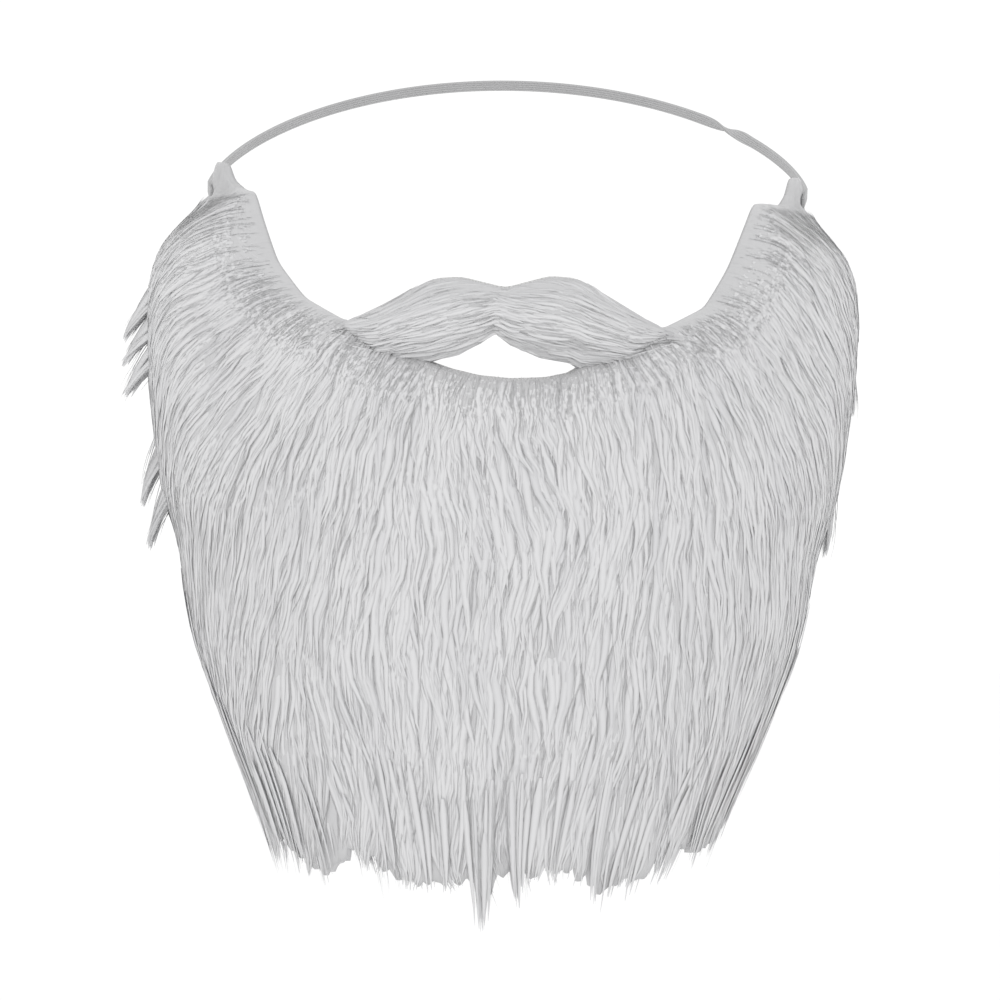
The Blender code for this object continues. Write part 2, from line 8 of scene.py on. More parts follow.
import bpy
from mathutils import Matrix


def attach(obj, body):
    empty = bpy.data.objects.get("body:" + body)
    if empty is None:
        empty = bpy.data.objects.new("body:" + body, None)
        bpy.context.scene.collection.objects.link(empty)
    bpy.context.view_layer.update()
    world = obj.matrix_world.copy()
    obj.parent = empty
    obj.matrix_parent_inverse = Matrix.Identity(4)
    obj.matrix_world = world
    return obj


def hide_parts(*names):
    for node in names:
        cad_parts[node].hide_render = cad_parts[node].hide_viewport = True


bl_info = {
    "name": "Fake beard",
    "version": (1, 0, 0),
    "blender": (4, 5, 0),
    "location": "3D View > Sidebar > Fake beard",
    "description": "Dresses the packed fake beard with pile, knitted cloth, elastic and a stage",
    "category": "Object",
}

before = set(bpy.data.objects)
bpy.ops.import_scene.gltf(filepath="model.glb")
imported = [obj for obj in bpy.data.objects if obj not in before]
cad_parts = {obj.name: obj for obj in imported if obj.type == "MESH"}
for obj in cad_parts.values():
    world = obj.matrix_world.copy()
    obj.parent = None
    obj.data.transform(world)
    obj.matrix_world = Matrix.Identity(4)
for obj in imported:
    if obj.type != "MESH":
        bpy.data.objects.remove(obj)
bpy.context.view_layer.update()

import math
from collections import namedtuple

import bmesh
import bpy
import numpy as np
from bpy.props import FloatProperty, FloatVectorProperty, IntProperty, PointerProperty
from mathutils import Matrix, Vector

BODY = "root"

# The face form: a half ellipse in plan at each height
FaceSection = namedtuple("FaceSection", "height half_width centre_y depth")
FACE_SECTIONS = (
    FaceSection(0.030, 0.0875, 0.000, 0.103),
    FaceSection(0.000, 0.0890, 0.000, 0.106),
    FaceSection(-0.045, 0.0885, 0.000, 0.109),
    FaceSection(-0.085, 0.0850, -0.004, 0.106),
    FaceSection(-0.115, 0.0785, -0.015, 0.094),
    FaceSection(-0.145, 0.0680, -0.028, 0.078),
    FaceSection(-0.175, 0.0570, -0.040, 0.063),
    FaceSection(-0.216, 0.0450, -0.048, 0.051),
)
FACE_SMOOTHING = 0.012

# Angle of the ear tabs' back edges, and of the notches where the moustache meets the cheeks
TAB_EDGE = 82.0
NOTCH = 31.0

# Length of a degree along the cloth, about the same everywhere, and along the moustache's wings
DEGREE_OF_CLOTH = 0.0017
DEGREE_OF_WING = 0.00185

# Cut edges of the cloth
EdgePoint = namedtuple("EdgePoint", "place angle height")
UPPER_EDGE = (
    EdgePoint("right tab back", -TAB_EDGE, 0.0030),
    EdgePoint("right tongue back", -79.0, 0.0100),
    EdgePoint("right tongue top", -76.0, 0.0115),
    EdgePoint("right tongue front", -71.0, 0.0105),
    EdgePoint("right tongue foot", -66.5, 0.0052),
    EdgePoint("right tab top", -61.0, 0.0020),
    EdgePoint("right tab corner", -57.0, 0.0010),
    EdgePoint("right tab side", -53.8, -0.0070),
    EdgePoint("right tab foot", -48.8, -0.0195),
    EdgePoint("right cheek rise", -41.0, -0.0300),
    EdgePoint("right cheek notch", -NOTCH, -0.0368),
    EdgePoint("right moustache wing", -22.0, -0.0308),
    EdgePoint("right crest end", -13.0, -0.0236),
    EdgePoint("right moustache crest", -8.0, -0.0230),
    EdgePoint("under nose", 0.0, -0.0258),
    EdgePoint("left moustache crest", 8.0, -0.0222),
    EdgePoint("left crest end", 13.0, -0.0226),
    EdgePoint("left moustache wing", 22.0, -0.0300),
    EdgePoint("left cheek notch", NOTCH, -0.0368),
    EdgePoint("left cheek rise", 41.0, -0.0300),
    EdgePoint("left tab foot", 47.0, -0.0185),
    EdgePoint("left tab side", 51.0, -0.0081),
    EdgePoint("left tab corner", 54.8, 0.0010),
    EdgePoint("left tab top", 65.5, 0.0014),
    EdgePoint("left tongue foot", 69.5, 0.0050),
    EdgePoint("left tongue front", 72.5, 0.0100),
    EdgePoint("left tongue top", 76.5, 0.0112),
    EdgePoint("left tongue back", 79.0, 0.0100),
    EdgePoint("left tab back", TAB_EDGE, 0.0030),
)
LOWER_EDGE = (
    EdgePoint("chin", 0.0, -0.160),
    EdgePoint("chin side", 30.0, -0.156),
    EdgePoint("jaw", 50.0, -0.147),
    EdgePoint("jaw back", 70.0, -0.127),
    EdgePoint("under ear", TAB_EDGE, -0.104),
)
# Where moustache and beard part, left to right across the mouth
PARTING = (
    EdgePoint("right notch", -NOTCH, -0.0368),
    EdgePoint("right wing", -22.0, -0.0448),
    EdgePoint("right mouth corner", -13.3, -0.0474),
    EdgePoint("right lip side", -9.7, -0.0492),
    EdgePoint("right lip", -4.2, -0.0510),
    EdgePoint("lip", 1.3, -0.0516),
    EdgePoint("left lip", 7.6, -0.0511),
    EdgePoint("left lip side", 12.2, -0.0495),
    EdgePoint("left mouth corner", 13.6, -0.0481),
    EdgePoint("left wing", 22.0, -0.0450),
    EdgePoint("left notch", NOTCH, -0.0368),
)
MOUTH_TOP = (
    EdgePoint("right mouth corner", -13.3, -0.0474),
    EdgePoint("right moustache fullness", -7.9, -0.0446),
    EdgePoint("right moustache edge", -4.3, -0.0420),
    EdgePoint("peak", -1.6, -0.0390),
    EdgePoint("left moustache edge", 1.1, -0.0421),
    EdgePoint("left edge", 6.6, -0.0455),
    EdgePoint("left moustache fullness", 12.1, -0.0467),
    EdgePoint("left mouth corner", 13.6, -0.0481),
)
# The lowest that the pile hangs, round the ragged lower edge
LOWEST_PILE = (
    EdgePoint("right ear", -86.0, -0.1440),
    EdgePoint("right jaw back", -81.0, -0.1565),
    EdgePoint("right jaw back tip", -77.5, -0.1690),
    EdgePoint("right jaw", -74.0, -0.1745),
    EdgePoint("right jaw lock", -70.5, -0.1830),
    EdgePoint("right jaw tip", -68.5, -0.1850),
    EdgePoint("right jaw side", -64.0, -0.1850),
    EdgePoint("right jaw notch", -60.0, -0.1870),
    EdgePoint("right chin lock side", -57.5, -0.1890),
    EdgePoint("right chin lock", -52.8, -0.1921),
    EdgePoint("right chin lock end", -46.5, -0.1932),
    EdgePoint("right chin lock front", -40.5, -0.1895),
    EdgePoint("right chin notch", -34.0, -0.1824),
    EdgePoint("right of the notch", -30.8, -0.1888),
    EdgePoint("right chin", -24.2, -0.1940),
    EdgePoint("right chin tip", -17.5, -0.1945),
    EdgePoint("right of the middle", -11.5, -0.1942),
    EdgePoint("right of the longest tip", -5.2, -0.1929),
    EdgePoint("longest tip", -0.8, -0.1985),
    EdgePoint("left of the longest tip", 2.0, -0.1918),
    EdgePoint("chin notch", 4.2, -0.1903),
    EdgePoint("chin tip", 8.2, -0.1922),
    EdgePoint("left chin", 14.0, -0.1901),
    EdgePoint("left chin notch", 22.0, -0.1903),
    EdgePoint("left chin tip", 30.2, -0.1962),
    EdgePoint("left chin side", 36.8, -0.1926),
    EdgePoint("left chin end", 43.2, -0.1926),
    EdgePoint("left jaw", 46.5, -0.1879),
    EdgePoint("left jaw notch", 50.2, -0.1832),
    EdgePoint("left jaw lock", 57.0, -0.1848),
    EdgePoint("left jaw tip", 62.8, -0.1860),
    EdgePoint("left jaw side", 70.0, -0.1835),
    EdgePoint("left jaw back", 75.0, -0.1800),
    EdgePoint("left ear side", 81.0, -0.1700),
    EdgePoint("left ear", 86.0, -0.1560),
)

# How deep the pile is on the face and at the sides
PileDepth = namedtuple("PileDepth", "height front side")
PILE_DEPTHS = (
    PileDepth(0.012, 0.0015, 0.0015),
    PileDepth(0.002, 0.004, 0.0030),
    PileDepth(-0.004, 0.006, 0.0072),
    PileDepth(-0.010, 0.008, 0.0152),
    PileDepth(-0.020, 0.008, 0.0200),
    PileDepth(-0.030, 0.008, 0.0212),
    PileDepth(-0.055, 0.011, 0.0209),
    PileDepth(-0.085, 0.017, 0.0190),
    PileDepth(-0.100, 0.018, 0.0158),
    PileDepth(-0.115, 0.018, 0.0170),
    PileDepth(-0.130, 0.018, 0.0184),
    PileDepth(-0.160, 0.016, 0.0172),
    PileDepth(-0.180, 0.014, 0.0154),
    PileDepth(-0.216, 0.010, 0.0115),
)
# Which way the pile lies at each side: 0 is straight down, 90 is back to the ear
Groom = namedtuple("Groom", "height right left")
GROOM = (
    Groom(-0.010, 74.0, 62.0),
    Groom(-0.035, 66.0, 52.0),
    Groom(-0.065, 50.0, 38.0),
    Groom(-0.095, 36.0, 24.0),
    Groom(-0.130, 26.0, 15.0),
    Groom(-0.200, 20.0, 10.0),
)
# How long the locks are on the face and at the sides
PILE_LENGTHS = (
    PileDepth(0.000, 0.026, 0.026),
    PileDepth(-0.050, 0.028, 0.030),
    PileDepth(-0.080, 0.034, 0.034),
    PileDepth(-0.160, 0.040, 0.038),
)
# The dense bed's share of the pile's depth, and its depth at the cut edges
BED_SHARE = 0.89
BED_EDGE = 0.0014
# How far in from the upper edge and from the sides the bed is full, and how far down locks grow densely
BED_ROUNDING = 0.012
SIDE_ROUNDING = 0.007
WALL_ROUNDING = 0.011
# Depth of the beard's bed where a wing of the moustache lies on it
UNDER_WING_DEPTH = 0.0046
# How far roots are sunk in the bed, the least lift of a lock, and how far locks wave sideways
ROOT_SUNK = 0.00012
LEAST_LIFT = 0.0003
LOCK_WAVE = 0.0011

# Stray locks that stand out of the side outline, from root to tip
SideLock = namedtuple("SideLock", "angle height tip_x tip_height")
SIDE_LOCKS = (
    SideLock(-80.0, -0.0260, -0.1128, -0.0412),
    SideLock(-80.0, -0.0350, -0.1130, -0.0492),
    SideLock(-80.0, -0.0440, -0.1122, -0.0582),
    SideLock(-80.0, -0.0720, -0.1060, -0.0900),
    SideLock(-79.0, -0.0850, -0.1030, -0.1025),
    SideLock(79.0, -0.0420, 0.1035, -0.0580),
    SideLock(79.0, -0.0800, 0.0965, -0.1000),
)

# Locks of the ragged lower edge
FringeLock = namedtuple("FringeLock", "angle tip_x tip_height width")
FRINGE_LOCKS = (
    FringeLock(-80.0, -0.0850, -0.1400, 0.006),
    FringeLock(-76.0, -0.0800, -0.1540, 0.006),
    FringeLock(-74.0, -0.0740, -0.1702, 0.004),
    FringeLock(-71.0, -0.0702, -0.1775, 0.004),
    FringeLock(-68.0, -0.0668, -0.1830, 0.005),
    FringeLock(-64.0, -0.0650, -0.1885, 0.005),
    FringeLock(-57.0, -0.0560, -0.1918, 0.014),
    FringeLock(-48.0, -0.0462, -0.1945, 0.016),
    FringeLock(-29.0, -0.0290, -0.1938, 0.018),
    FringeLock(-18.0, -0.0175, -0.1956, 0.017),
    FringeLock(-9.0, -0.0110, -0.1950, 0.015),
    FringeLock(-3.0, -0.0022, -0.2050, 0.008),
    FringeLock(5.0, 0.0076, -0.1985, 0.005),
    FringeLock(8.0, 0.0090, -0.1945, 0.012),
    FringeLock(16.0, 0.0170, -0.1912, 0.015),
    FringeLock(29.0, 0.0308, -0.1985, 0.014),
    FringeLock(41.0, 0.0400, -0.1935, 0.017),
    FringeLock(50.0, 0.0460, -0.1925, 0.014),
    FringeLock(60.0, 0.0605, -0.1872, 0.014),
    FringeLock(67.0, 0.0668, -0.1825, 0.014),
    FringeLock(73.0, 0.0722, -0.1715, 0.013),
    FringeLock(77.0, 0.0768, -0.1580, 0.013),
    FringeLock(80.0, 0.0830, -0.1410, 0.013),
)

# Pieces of pile, from right ear to left ear
Sector = namedtuple("Sector", "name first last")
SECTORS = (
    Sector("right_ear", -90.0, -52.0),
    Sector("right_cheek", -52.0, -19.0),
    Sector("chin", -19.0, 16.0),
    Sector("left_cheek", 16.0, 50.0),
    Sector("left_ear", 50.0, 90.0),
)

# Points on each guide line, and guide lines in each stray and each fringe lock
GUIDE_STEPS = 7
STRAY_GUIDES = 26
FRINGE_GUIDES = 10

# Fixed seeds, so that the pile comes out the same each time
BEARD_SEED = 7
STRAY_SEED = 11
FRINGE_SEED = 17
MOUSTACHE_SEED = 23
RAGGED_SEED = 31
RIDGE_SEED = 3
ELASTIC_SEED = 5

# The elastic's way round the head, as in the solids
ELASTIC_SEWN_ANGLE = 76.5
ELASTIC_BACK_Y = 0.100
ELASTIC_BACK_HEIGHT = 0.0470
ELASTIC_LEAVING_HEIGHT = 0.0066
ELASTIC_TILT = 0.012
ELASTIC_SAG = 1.16
ELASTIC_GAP = 0.0004
TWIST_START = 0.74
TWIST_END = 0.83

# Stage
FLOOR_HALF_WIDTH = 9.0
KEY_PLACE = (-0.12, -1.45, 0.75)
KEY_TARGET = (0.0, -0.08, -0.08)
KEY_SIZE = (1.2, 0.9)
CAMERA_DISTANCE = 1.5
CAMERA_HEIGHT = -0.0856
CAMERA_ROLL = 1.4
VIEW_WIDTH = 0.300
SENSOR_WIDTH = 0.036


class PileSettings(bpy.types.PropertyGroup):
    """Pile of the beard and the moustache."""

    guide_spacing: FloatProperty(
        name="Guide spacing", description="Distance between guide lines", default=0.0033, unit="LENGTH"
    )
    strands: IntProperty(name="Strands", description="Fine strands over each lock", default=2)
    lock_width: FloatProperty(
        name="Lock width", description="Width of a flat lock at its middle", default=0.0028, unit="LENGTH"
    )
    strand_width: FloatProperty(
        name="Strand width", description="Width of a strand at its root", default=0.00030, unit="LENGTH"
    )
    lock_spacing: FloatProperty(
        name="Lock spacing", description="Distance between bunches of locks", default=0.0048, unit="LENGTH"
    )
    lock_pull: FloatProperty(
        name="Lock pull", description="How far tips are drawn to their bunch", default=0.70, subtype="FACTOR"
    )
    colour: FloatVectorProperty(
        name="Colour", description="Colour of the tips", default=(0.665, 0.665, 0.672), subtype="COLOR"
    )
    # Painted shade: the colour that roots deep in the pile and the grooves between fibres take, and the
    # lowest random tones too
    shade: FloatVectorProperty(
        name="Shade", description="Colour deep in the pile", default=(0.61, 0.61, 0.62), subtype="COLOR"
    )
    # Painted shade: the bed's colours are darker than the locks', as shade deep under them; the bed's shade
    # colour is painted shade in its hollows
    bed_colour_with_shade: FloatVectorProperty(
        name="Bed colour",
        description="Colour of the dense bed",
        default=(0.56, 0.56, 0.566),
        subtype="COLOR",
    )
    bed_shade: FloatVectorProperty(
        name="Bed shade",
        description="Colour of the bed's hollows",
        default=(0.53, 0.53, 0.537),
        subtype="COLOR",
    )


class BackingSettings(bpy.types.PropertyGroup):
    """Knitted cloth behind the pile."""

    thickness: FloatProperty(
        name="Thickness", description="Thickness of the cloth", default=0.0020, unit="LENGTH"
    )
    colour: FloatVectorProperty(
        name="Colour", description="Colour of the yarn", default=(0.74, 0.74, 0.735), subtype="COLOR"
    )


class ElasticSettings(bpy.types.PropertyGroup):
    """Flat elastic round the back of the head."""

    width: FloatProperty(
        name="Width", description="Width of the elastic", default=0.0034, unit="LENGTH"
    )
    thickness: FloatProperty(
        name="Thickness", description="Thickness of the elastic", default=0.0010, unit="LENGTH"
    )
    cords: IntProperty(name="Cords", description="Rubber cords side by side", default=5)
    colour: FloatVectorProperty(
        name="Colour", description="Colour of the braid", default=(0.46, 0.46, 0.465), subtype="COLOR"
    )


class StageSettings(bpy.types.PropertyGroup):
    """Floor, light and camera."""

    floor_height: FloatProperty(
        name="Floor height", description="Height of the floor", default=-0.42, unit="LENGTH"
    )
    surround: FloatProperty(
        name="Surround", description="Strength of the white surround", default=1.05, subtype="FACTOR"
    )
    key_power: FloatProperty(
        name="Key light", description="Power of the front light", default=3.0, unit="POWER"
    )


def ramp(value, length, least=0.0):
    """0 to 1, or from the least, as a value grows from 0 to a length."""
    return np.clip(value / length, least, 1.0)


def read(rows, key, value, at, reach=0.0):
    """A table's value at each place, by straight lines, averaged over a short reach."""
    rows = sorted(rows, key=lambda row: getattr(row, key))
    keys = [getattr(row, key) for row in rows]
    values = [getattr(row, value) for row in rows]
    steps = (-1.0, -0.5, 0.0, 0.5, 1.0) if reach else (0.0,)
    return sum(np.interp(at + reach * step, keys, values) for step in steps) / len(steps)


def face_place(angle, height, lift):
    """Places at these angles and heights, lifted off the face, and the outward direction there."""
    half_width = read(FACE_SECTIONS, "height", "half_width", height, FACE_SMOOTHING)
    centre_y = read(FACE_SECTIONS, "height", "centre_y", height, FACE_SMOOTHING)
    depth = read(FACE_SECTIONS, "height", "depth", height, FACE_SMOOTHING)
    turn = np.radians(angle)
    sideways, forward = np.sin(turn), np.cos(turn)
    outward = np.stack([sideways / half_width, -forward / depth, np.zeros_like(turn)], axis=-1)
    outward /= np.linalg.norm(outward, axis=-1, keepdims=True)
    place = np.stack([half_width * sideways, centre_y - depth * forward, height], axis=-1)
    return place + outward * np.asarray(lift)[..., None], outward


def metres_per_degree(angle, height):
    """Length of a degree along the cloth at each place."""
    ahead, _ = face_place(angle + 0.5, height, np.zeros_like(angle))
    behind, _ = face_place(angle - 0.5, height, np.zeros_like(angle))
    return np.linalg.norm(ahead - behind, axis=-1)


def from_front_to_side(rows, angle, height):
    """A value read from a table of heights, between its front and its side."""
    sideways = np.minimum(np.abs(angle) / 75.0, 1.0) ** 1.5
    front = read(rows, "height", "front", height, 0.004)
    side = read(rows, "height", "side", height, 0.004)
    return front + sideways * (side - front)


def pile_depth(angle, height):
    """How deep the pile is, a little less on the left cheek."""
    kept = 1.0 - 0.05 * ramp(angle - 40.0, 30.0)
    return kept * from_front_to_side(PILE_DEPTHS, angle, height)


def upper_edge(angle):
    return read(UPPER_EDGE, "angle", "height", angle, 1.0)


def lower_edge(angle):
    return read(LOWER_EDGE, "angle", "height", np.abs(angle), 5.0)


def beard_top(angle):
    """Upper edge of the beard's pile: along the mouth and the moustache, then up the cheeks."""
    parted = read(PARTING, "angle", "height", angle)
    return np.where(np.abs(angle) < NOTCH, parted, upper_edge(angle))


def moustache_bottom(angle):
    """Lower edge of the moustache: the top of the mouth, and beside it where it meets the beard."""
    over_mouth = (angle > MOUTH_TOP[0].angle) & (angle < MOUTH_TOP[-1].angle)
    mouth = read(MOUTH_TOP, "angle", "height", angle)
    return np.where(over_mouth, mouth, read(PARTING, "angle", "height", angle))


def bed_height(angle, height):
    """How far the dense bed of fur stands off the cloth: thin along the cut edges, full inside."""
    from_top = beard_top(angle) - height
    from_side = (TAB_EDGE + 1.5 - np.abs(angle)) * DEGREE_OF_CLOTH
    edge = np.minimum(ramp(from_top, BED_ROUNDING), ramp(from_side, SIDE_ROUNDING))
    rounded = np.sqrt(1.0 - (1.0 - edge) ** 2)
    above_tips = height - read(LOWEST_PILE, "angle", "height", angle, 6.0)
    hanging = ease(ramp(above_tips + 0.002, 0.042))
    kept = 0.72 + 0.23 * ramp(np.abs(angle) - 20.0, 40.0)
    thinned = kept + (1.0 - kept) * hanging
    lift = BED_EDGE + (BED_SHARE * pile_depth(angle, height) - BED_EDGE) * rounded * thinned
    under_wing = ramp(np.abs(angle) - 14.0, 6.0)
    under_wing = under_wing * ramp(NOTCH + 3.0 - np.abs(angle), 6.0)
    return np.maximum(lift, under_wing * UNDER_WING_DEPTH)


def bed_facing(angle, height):
    """Which way the surface of the bed faces."""
    def surface(angle, height):
        return face_place(angle, height, bed_height(angle, height))[0]

    sideways = surface(angle + 0.4, height) - surface(angle - 0.4, height)
    upward = surface(angle, height + 0.0006) - surface(angle, height - 0.0006)
    facing = np.cross(sideways, upward)
    return facing / np.maximum(np.linalg.norm(facing, axis=-1, keepdims=True), 1e-9)


def lock_facing(outward, angle, height):
    """Which way a flat lock on the bed faces: nearly as the bed does, and a little outwards."""
    facing = 0.15 * outward + 0.85 * bed_facing(angle, height)
    return facing / np.linalg.norm(facing, axis=-1, keepdims=True)


def soft_noise(rng, spacing, waves=7):
    """A smooth, repeatable wandering value over angle and height, about -1 to 1."""
    ways = rng.uniform(0.0, math.tau, waves)
    sizes = spacing * rng.uniform(0.7, 1.6, waves)
    starts = rng.uniform(0.0, math.tau, waves)

    def value(angle, height):
        across = angle * DEGREE_OF_CLOTH
        total = np.zeros_like(angle)
        for way, size, start in zip(ways, sizes, starts):
            along = across * math.cos(way) + height * math.sin(way)
            total += np.sin(math.tau * along / size + start)
        return total / math.sqrt(waves)

    return value


def groom(angle, height):
    """Which way the pile lies, in degrees from straight down, towards the ear on that side."""
    swept = np.where(
        angle < 0.0,
        read(GROOM, "height", "right", height, 0.008),
        read(GROOM, "height", "left", height, 0.008),
    )
    sideways = ramp(np.abs(angle) - 12.0, 44.0)
    near_back = ramp(TAB_EDGE + 6.0 - np.abs(angle), 26.0, 0.25)
    return np.sign(angle) * sideways * swept * near_back


def walk(angle, height, length, lean):
    """Tracks of the pile from its roots, as angles and heights at each step."""
    angles, heights = [angle], [height]
    for _ in range(GUIDE_STEPS - 1):
        turn = np.radians(groom(angle, height) + lean(angle, height))
        stride = length / (GUIDE_STEPS - 1)
        angle = angle + np.sin(turn) * stride / metres_per_degree(angle, height)
        height = height - np.cos(turn) * stride
        angles.append(angle)
        heights.append(height)
    return np.stack(angles, axis=1), np.stack(heights, axis=1)


def scattered(rng, spacing, bottom, top):
    """Roots spread evenly over the cloth between two edges, each a little off its place in a grid."""
    found = []
    for height in np.arange(-0.165, 0.010, spacing):
        degree = metres_per_degree(np.array([0.0]), np.array([height]))[0]
        step = spacing / float(degree) * 1.06
        angle = np.arange(-TAB_EDGE + 0.8, TAB_EDGE - 0.8, step)
        angle = angle + rng.uniform(-0.5, 0.5, len(angle)) * step
        high = height + rng.uniform(-0.5, 0.5, len(angle)) * spacing
        inside = (high > bottom(angle)) & (high < top(angle)) & (np.abs(angle) < TAB_EDGE - 0.4)
        found.append(np.stack([angle[inside], high[inside]], axis=1))
    return np.concatenate(found)


def wall_roots(rng, top):
    """Roots on the steep side of the fur along its upper edge, closer together where it is steeper."""
    found = []
    rows = 9
    for row in range(rows):
        angle = np.arange(-TAB_EDGE + 1.0, TAB_EDGE - 1.0, 0.85)
        angle = angle + rng.uniform(-0.4, 0.4, len(angle))
        if row % 2:
            angle = angle[np.abs(angle) > NOTCH]
        rise = (row + rng.uniform(0.0, 1.0, len(angle))) / rows
        below_top = WALL_ROUNDING * (1.0 - np.sqrt(1.0 - rise ** 2))
        found.append(np.stack([angle, top(angle) - below_top], axis=1))
    return np.concatenate(found)


def hem_roots(rng):
    """Roots of the locks that hang to the ragged lower edge, all the way round."""
    angle = np.arange(-TAB_EDGE + 1.0, TAB_EDGE - 1.0, 0.36)
    angle = angle + rng.uniform(-0.4, 0.4, len(angle))
    height = read(LOWEST_PILE, "angle", "height", angle) + rng.uniform(0.020, 0.034, len(angle))
    return np.stack([angle, height], axis=1)


def nearest(roots, centres):
    """For each root, the bunch it belongs to and how far off the middle of the bunch it is."""
    scale = np.array([DEGREE_OF_CLOTH, 1.0])
    apart = np.linalg.norm((roots * scale)[:, None, :] - (centres * scale)[None, :, :], axis=2)
    return apart.argmin(axis=1), apart.min(axis=1)


def ease(share):
    """0 to 1 with a soft start and end."""
    return share * share * (3.0 - 2.0 * share)


class Guides:
    """Guide lines of locks: their points, the way the lock faces at each, and each line's tone and girth."""

    def __init__(self, points, outward, tone, girth):
        self.points, self.outward, self.tone, self.girth = points, outward, tone, girth

    def part(self, chosen):
        return Guides(self.points[chosen], self.outward[chosen], self.tone[chosen], self.girth[chosen])

    def joined(self, other):
        return Guides(
            np.concatenate([self.points, other.points]),
            np.concatenate([self.outward, other.outward]),
            np.concatenate([self.tone, other.tone]),
            np.concatenate([self.girth, other.girth]),
        )


def beard_guides(pile):
    """Guide lines over the beard, drawn together in bunches, and the angle of each one's root."""
    rng = np.random.default_rng(BEARD_SEED)
    sway, tone_field = soft_noise(rng, 0.055), soft_noise(rng, 0.030)
    length_field = soft_noise(rng, 0.040)

    def lean(angle, height):
        return 7.0 * sway(angle, height)

    def bottom(angle):
        return lower_edge(angle) + 0.001

    def top(angle):
        under_mouth = ramp(15.0 - np.abs(angle), 3.0)
        return np.minimum(beard_top(angle), 0.0002) - 0.0001 - 0.0012 * under_mouth

    def tracks(roots, spread, shortened):
        angle, height = roots[:, 0], roots[:, 1]
        length = from_front_to_side(PILE_LENGTHS, angle, height)
        length = length * (1.0 + 0.10 * length_field(angle, height))
        length *= shortened * rng.uniform(1.0 - spread, 1.0, len(angle))
        near_back = ramp(TAB_EDGE + 8.0 - np.abs(angle), 26.0, 0.5)
        above_fringe = height - read(LOWEST_PILE, "angle", "height", angle)
        above_fringe = above_fringe - rng.uniform(0.0, 0.004, len(angle))
        downward = np.cos(np.radians(groom(angle, height)))
        length = np.minimum(length * near_back, above_fringe / downward)
        edge = (height < lower_edge(angle) + 0.014) & (rng.uniform(0.0, 1.0, len(angle)) < 0.6)
        length = np.where(edge | (height < lower_edge(angle)), 1.12 * above_fringe / downward, length)
        return walk(angle, height, np.maximum(length, 0.010), lean)

    body = scattered(rng, pile.guide_spacing, bottom, top)
    wall = wall_roots(rng, top)
    hem = hem_roots(rng)
    roots = np.concatenate([body, wall, hem])
    shortened = [np.ones(len(body)), rng.uniform(0.45, 0.8, len(wall)), np.full(len(hem), 0.9)]
    shortened = np.concatenate(shortened)
    centres = scattered(rng, pile.lock_spacing, bottom, top)
    angles, heights = tracks(roots, 0.22, shortened)
    lock_angles, lock_heights = tracks(centres, 0.05, 1.0)
    lock, apart = nearest(roots, centres)
    share = np.linspace(0.0, 1.0, GUIDE_STEPS)[None, :]
    pull = pile.lock_pull * share ** 1.3
    angles += pull * (lock_angles[lock] - angles)
    heights += 0.6 * pull * shortened[:, None] * (lock_heights[lock] - heights)

    phase = rng.uniform(0.0, math.tau, len(centres))[lock][:, None]
    phase = phase + rng.normal(0.0, 0.3, (len(roots), 1))
    wave = np.sin(share * 9.0 + phase) * share ** 0.7 * LOCK_WAVE
    angles += wave / metres_per_degree(angles, heights)

    stand = rng.uniform(0.00002, 0.00014, len(centres))[lock]
    stand = stand + rng.uniform(-0.00003, 0.00003, len(roots))
    hollow = np.minimum(apart / (0.6 * pile.lock_spacing), 1.0) ** 2
    stand = ((stand - 0.00004 * hollow) * (0.5 + 0.5 * shortened))[:, None]
    below_cloth = ramp(lower_edge(roots[:, :1]) + 0.020 - roots[:, 1:], 0.020)
    inner_layer = 1.0 - below_cloth * rng.uniform(0.0, 0.012, (len(roots), 1)) * share ** 0.5
    rise = 1.0 - (1.0 - share) ** 2.2
    base = bed_height(angles, heights) * inner_layer
    lift = np.maximum(base - ROOT_SUNK + (stand + ROOT_SUNK) * rise, LEAST_LIFT)
    points, outward = face_place(angles, heights, lift)
    outward = lock_facing(outward, angles, heights)
    tone = 0.5 + 0.22 * tone_field(roots[:, 0], roots[:, 1])
    tone = tone + rng.normal(0.0, 0.20, len(centres))[lock]
    girth = rng.uniform(0.6, 1.15, len(roots)) * (0.35 + 0.65 * shortened)
    return Guides(points, outward, np.clip(tone, 0.0, 1.0), girth), roots[:, 0]


def stray_locks():
    """Guide lines of the stray locks at the sides, and the angle of each one's root."""
    rng = np.random.default_rng(STRAY_SEED)
    points, outward, tone, roots = [], [], [], []
    share = np.linspace(0.0, 1.0, GUIDE_STEPS)[:, None]
    for lock in SIDE_LOCKS:
        for _ in range(STRAY_GUIDES):
            angle = np.array([lock.angle + rng.uniform(-2.0, 3.0)])
            height = np.array([lock.height + rng.uniform(-0.003, 0.004)])
            root, away = face_place(angle, height, 0.85 * bed_height(angle, height))
            hang = height[0] - lock.tip_height
            tip = np.array([lock.tip_x, root[0, 1] + 0.35 * hang, lock.tip_height])
            tip += rng.normal(0.0, 1.0, 3) * (0.0003, 0.0008, 0.0005)
            track = root[0] + (tip - root[0]) * share
            track += away[0] * (0.0008 * np.sin(math.pi * share))
            points.append(track)
            outward.append(np.tile((0.35 * away[0, 0], -1.0, 0.1), (GUIDE_STEPS, 1)))
            tone.append(rng.uniform(0.5, 0.8))
            roots.append(angle[0])
    girth = rng.uniform(0.5, 0.9, len(tone))
    return Guides(np.array(points), np.array(outward), np.array(tone), girth), np.array(roots)


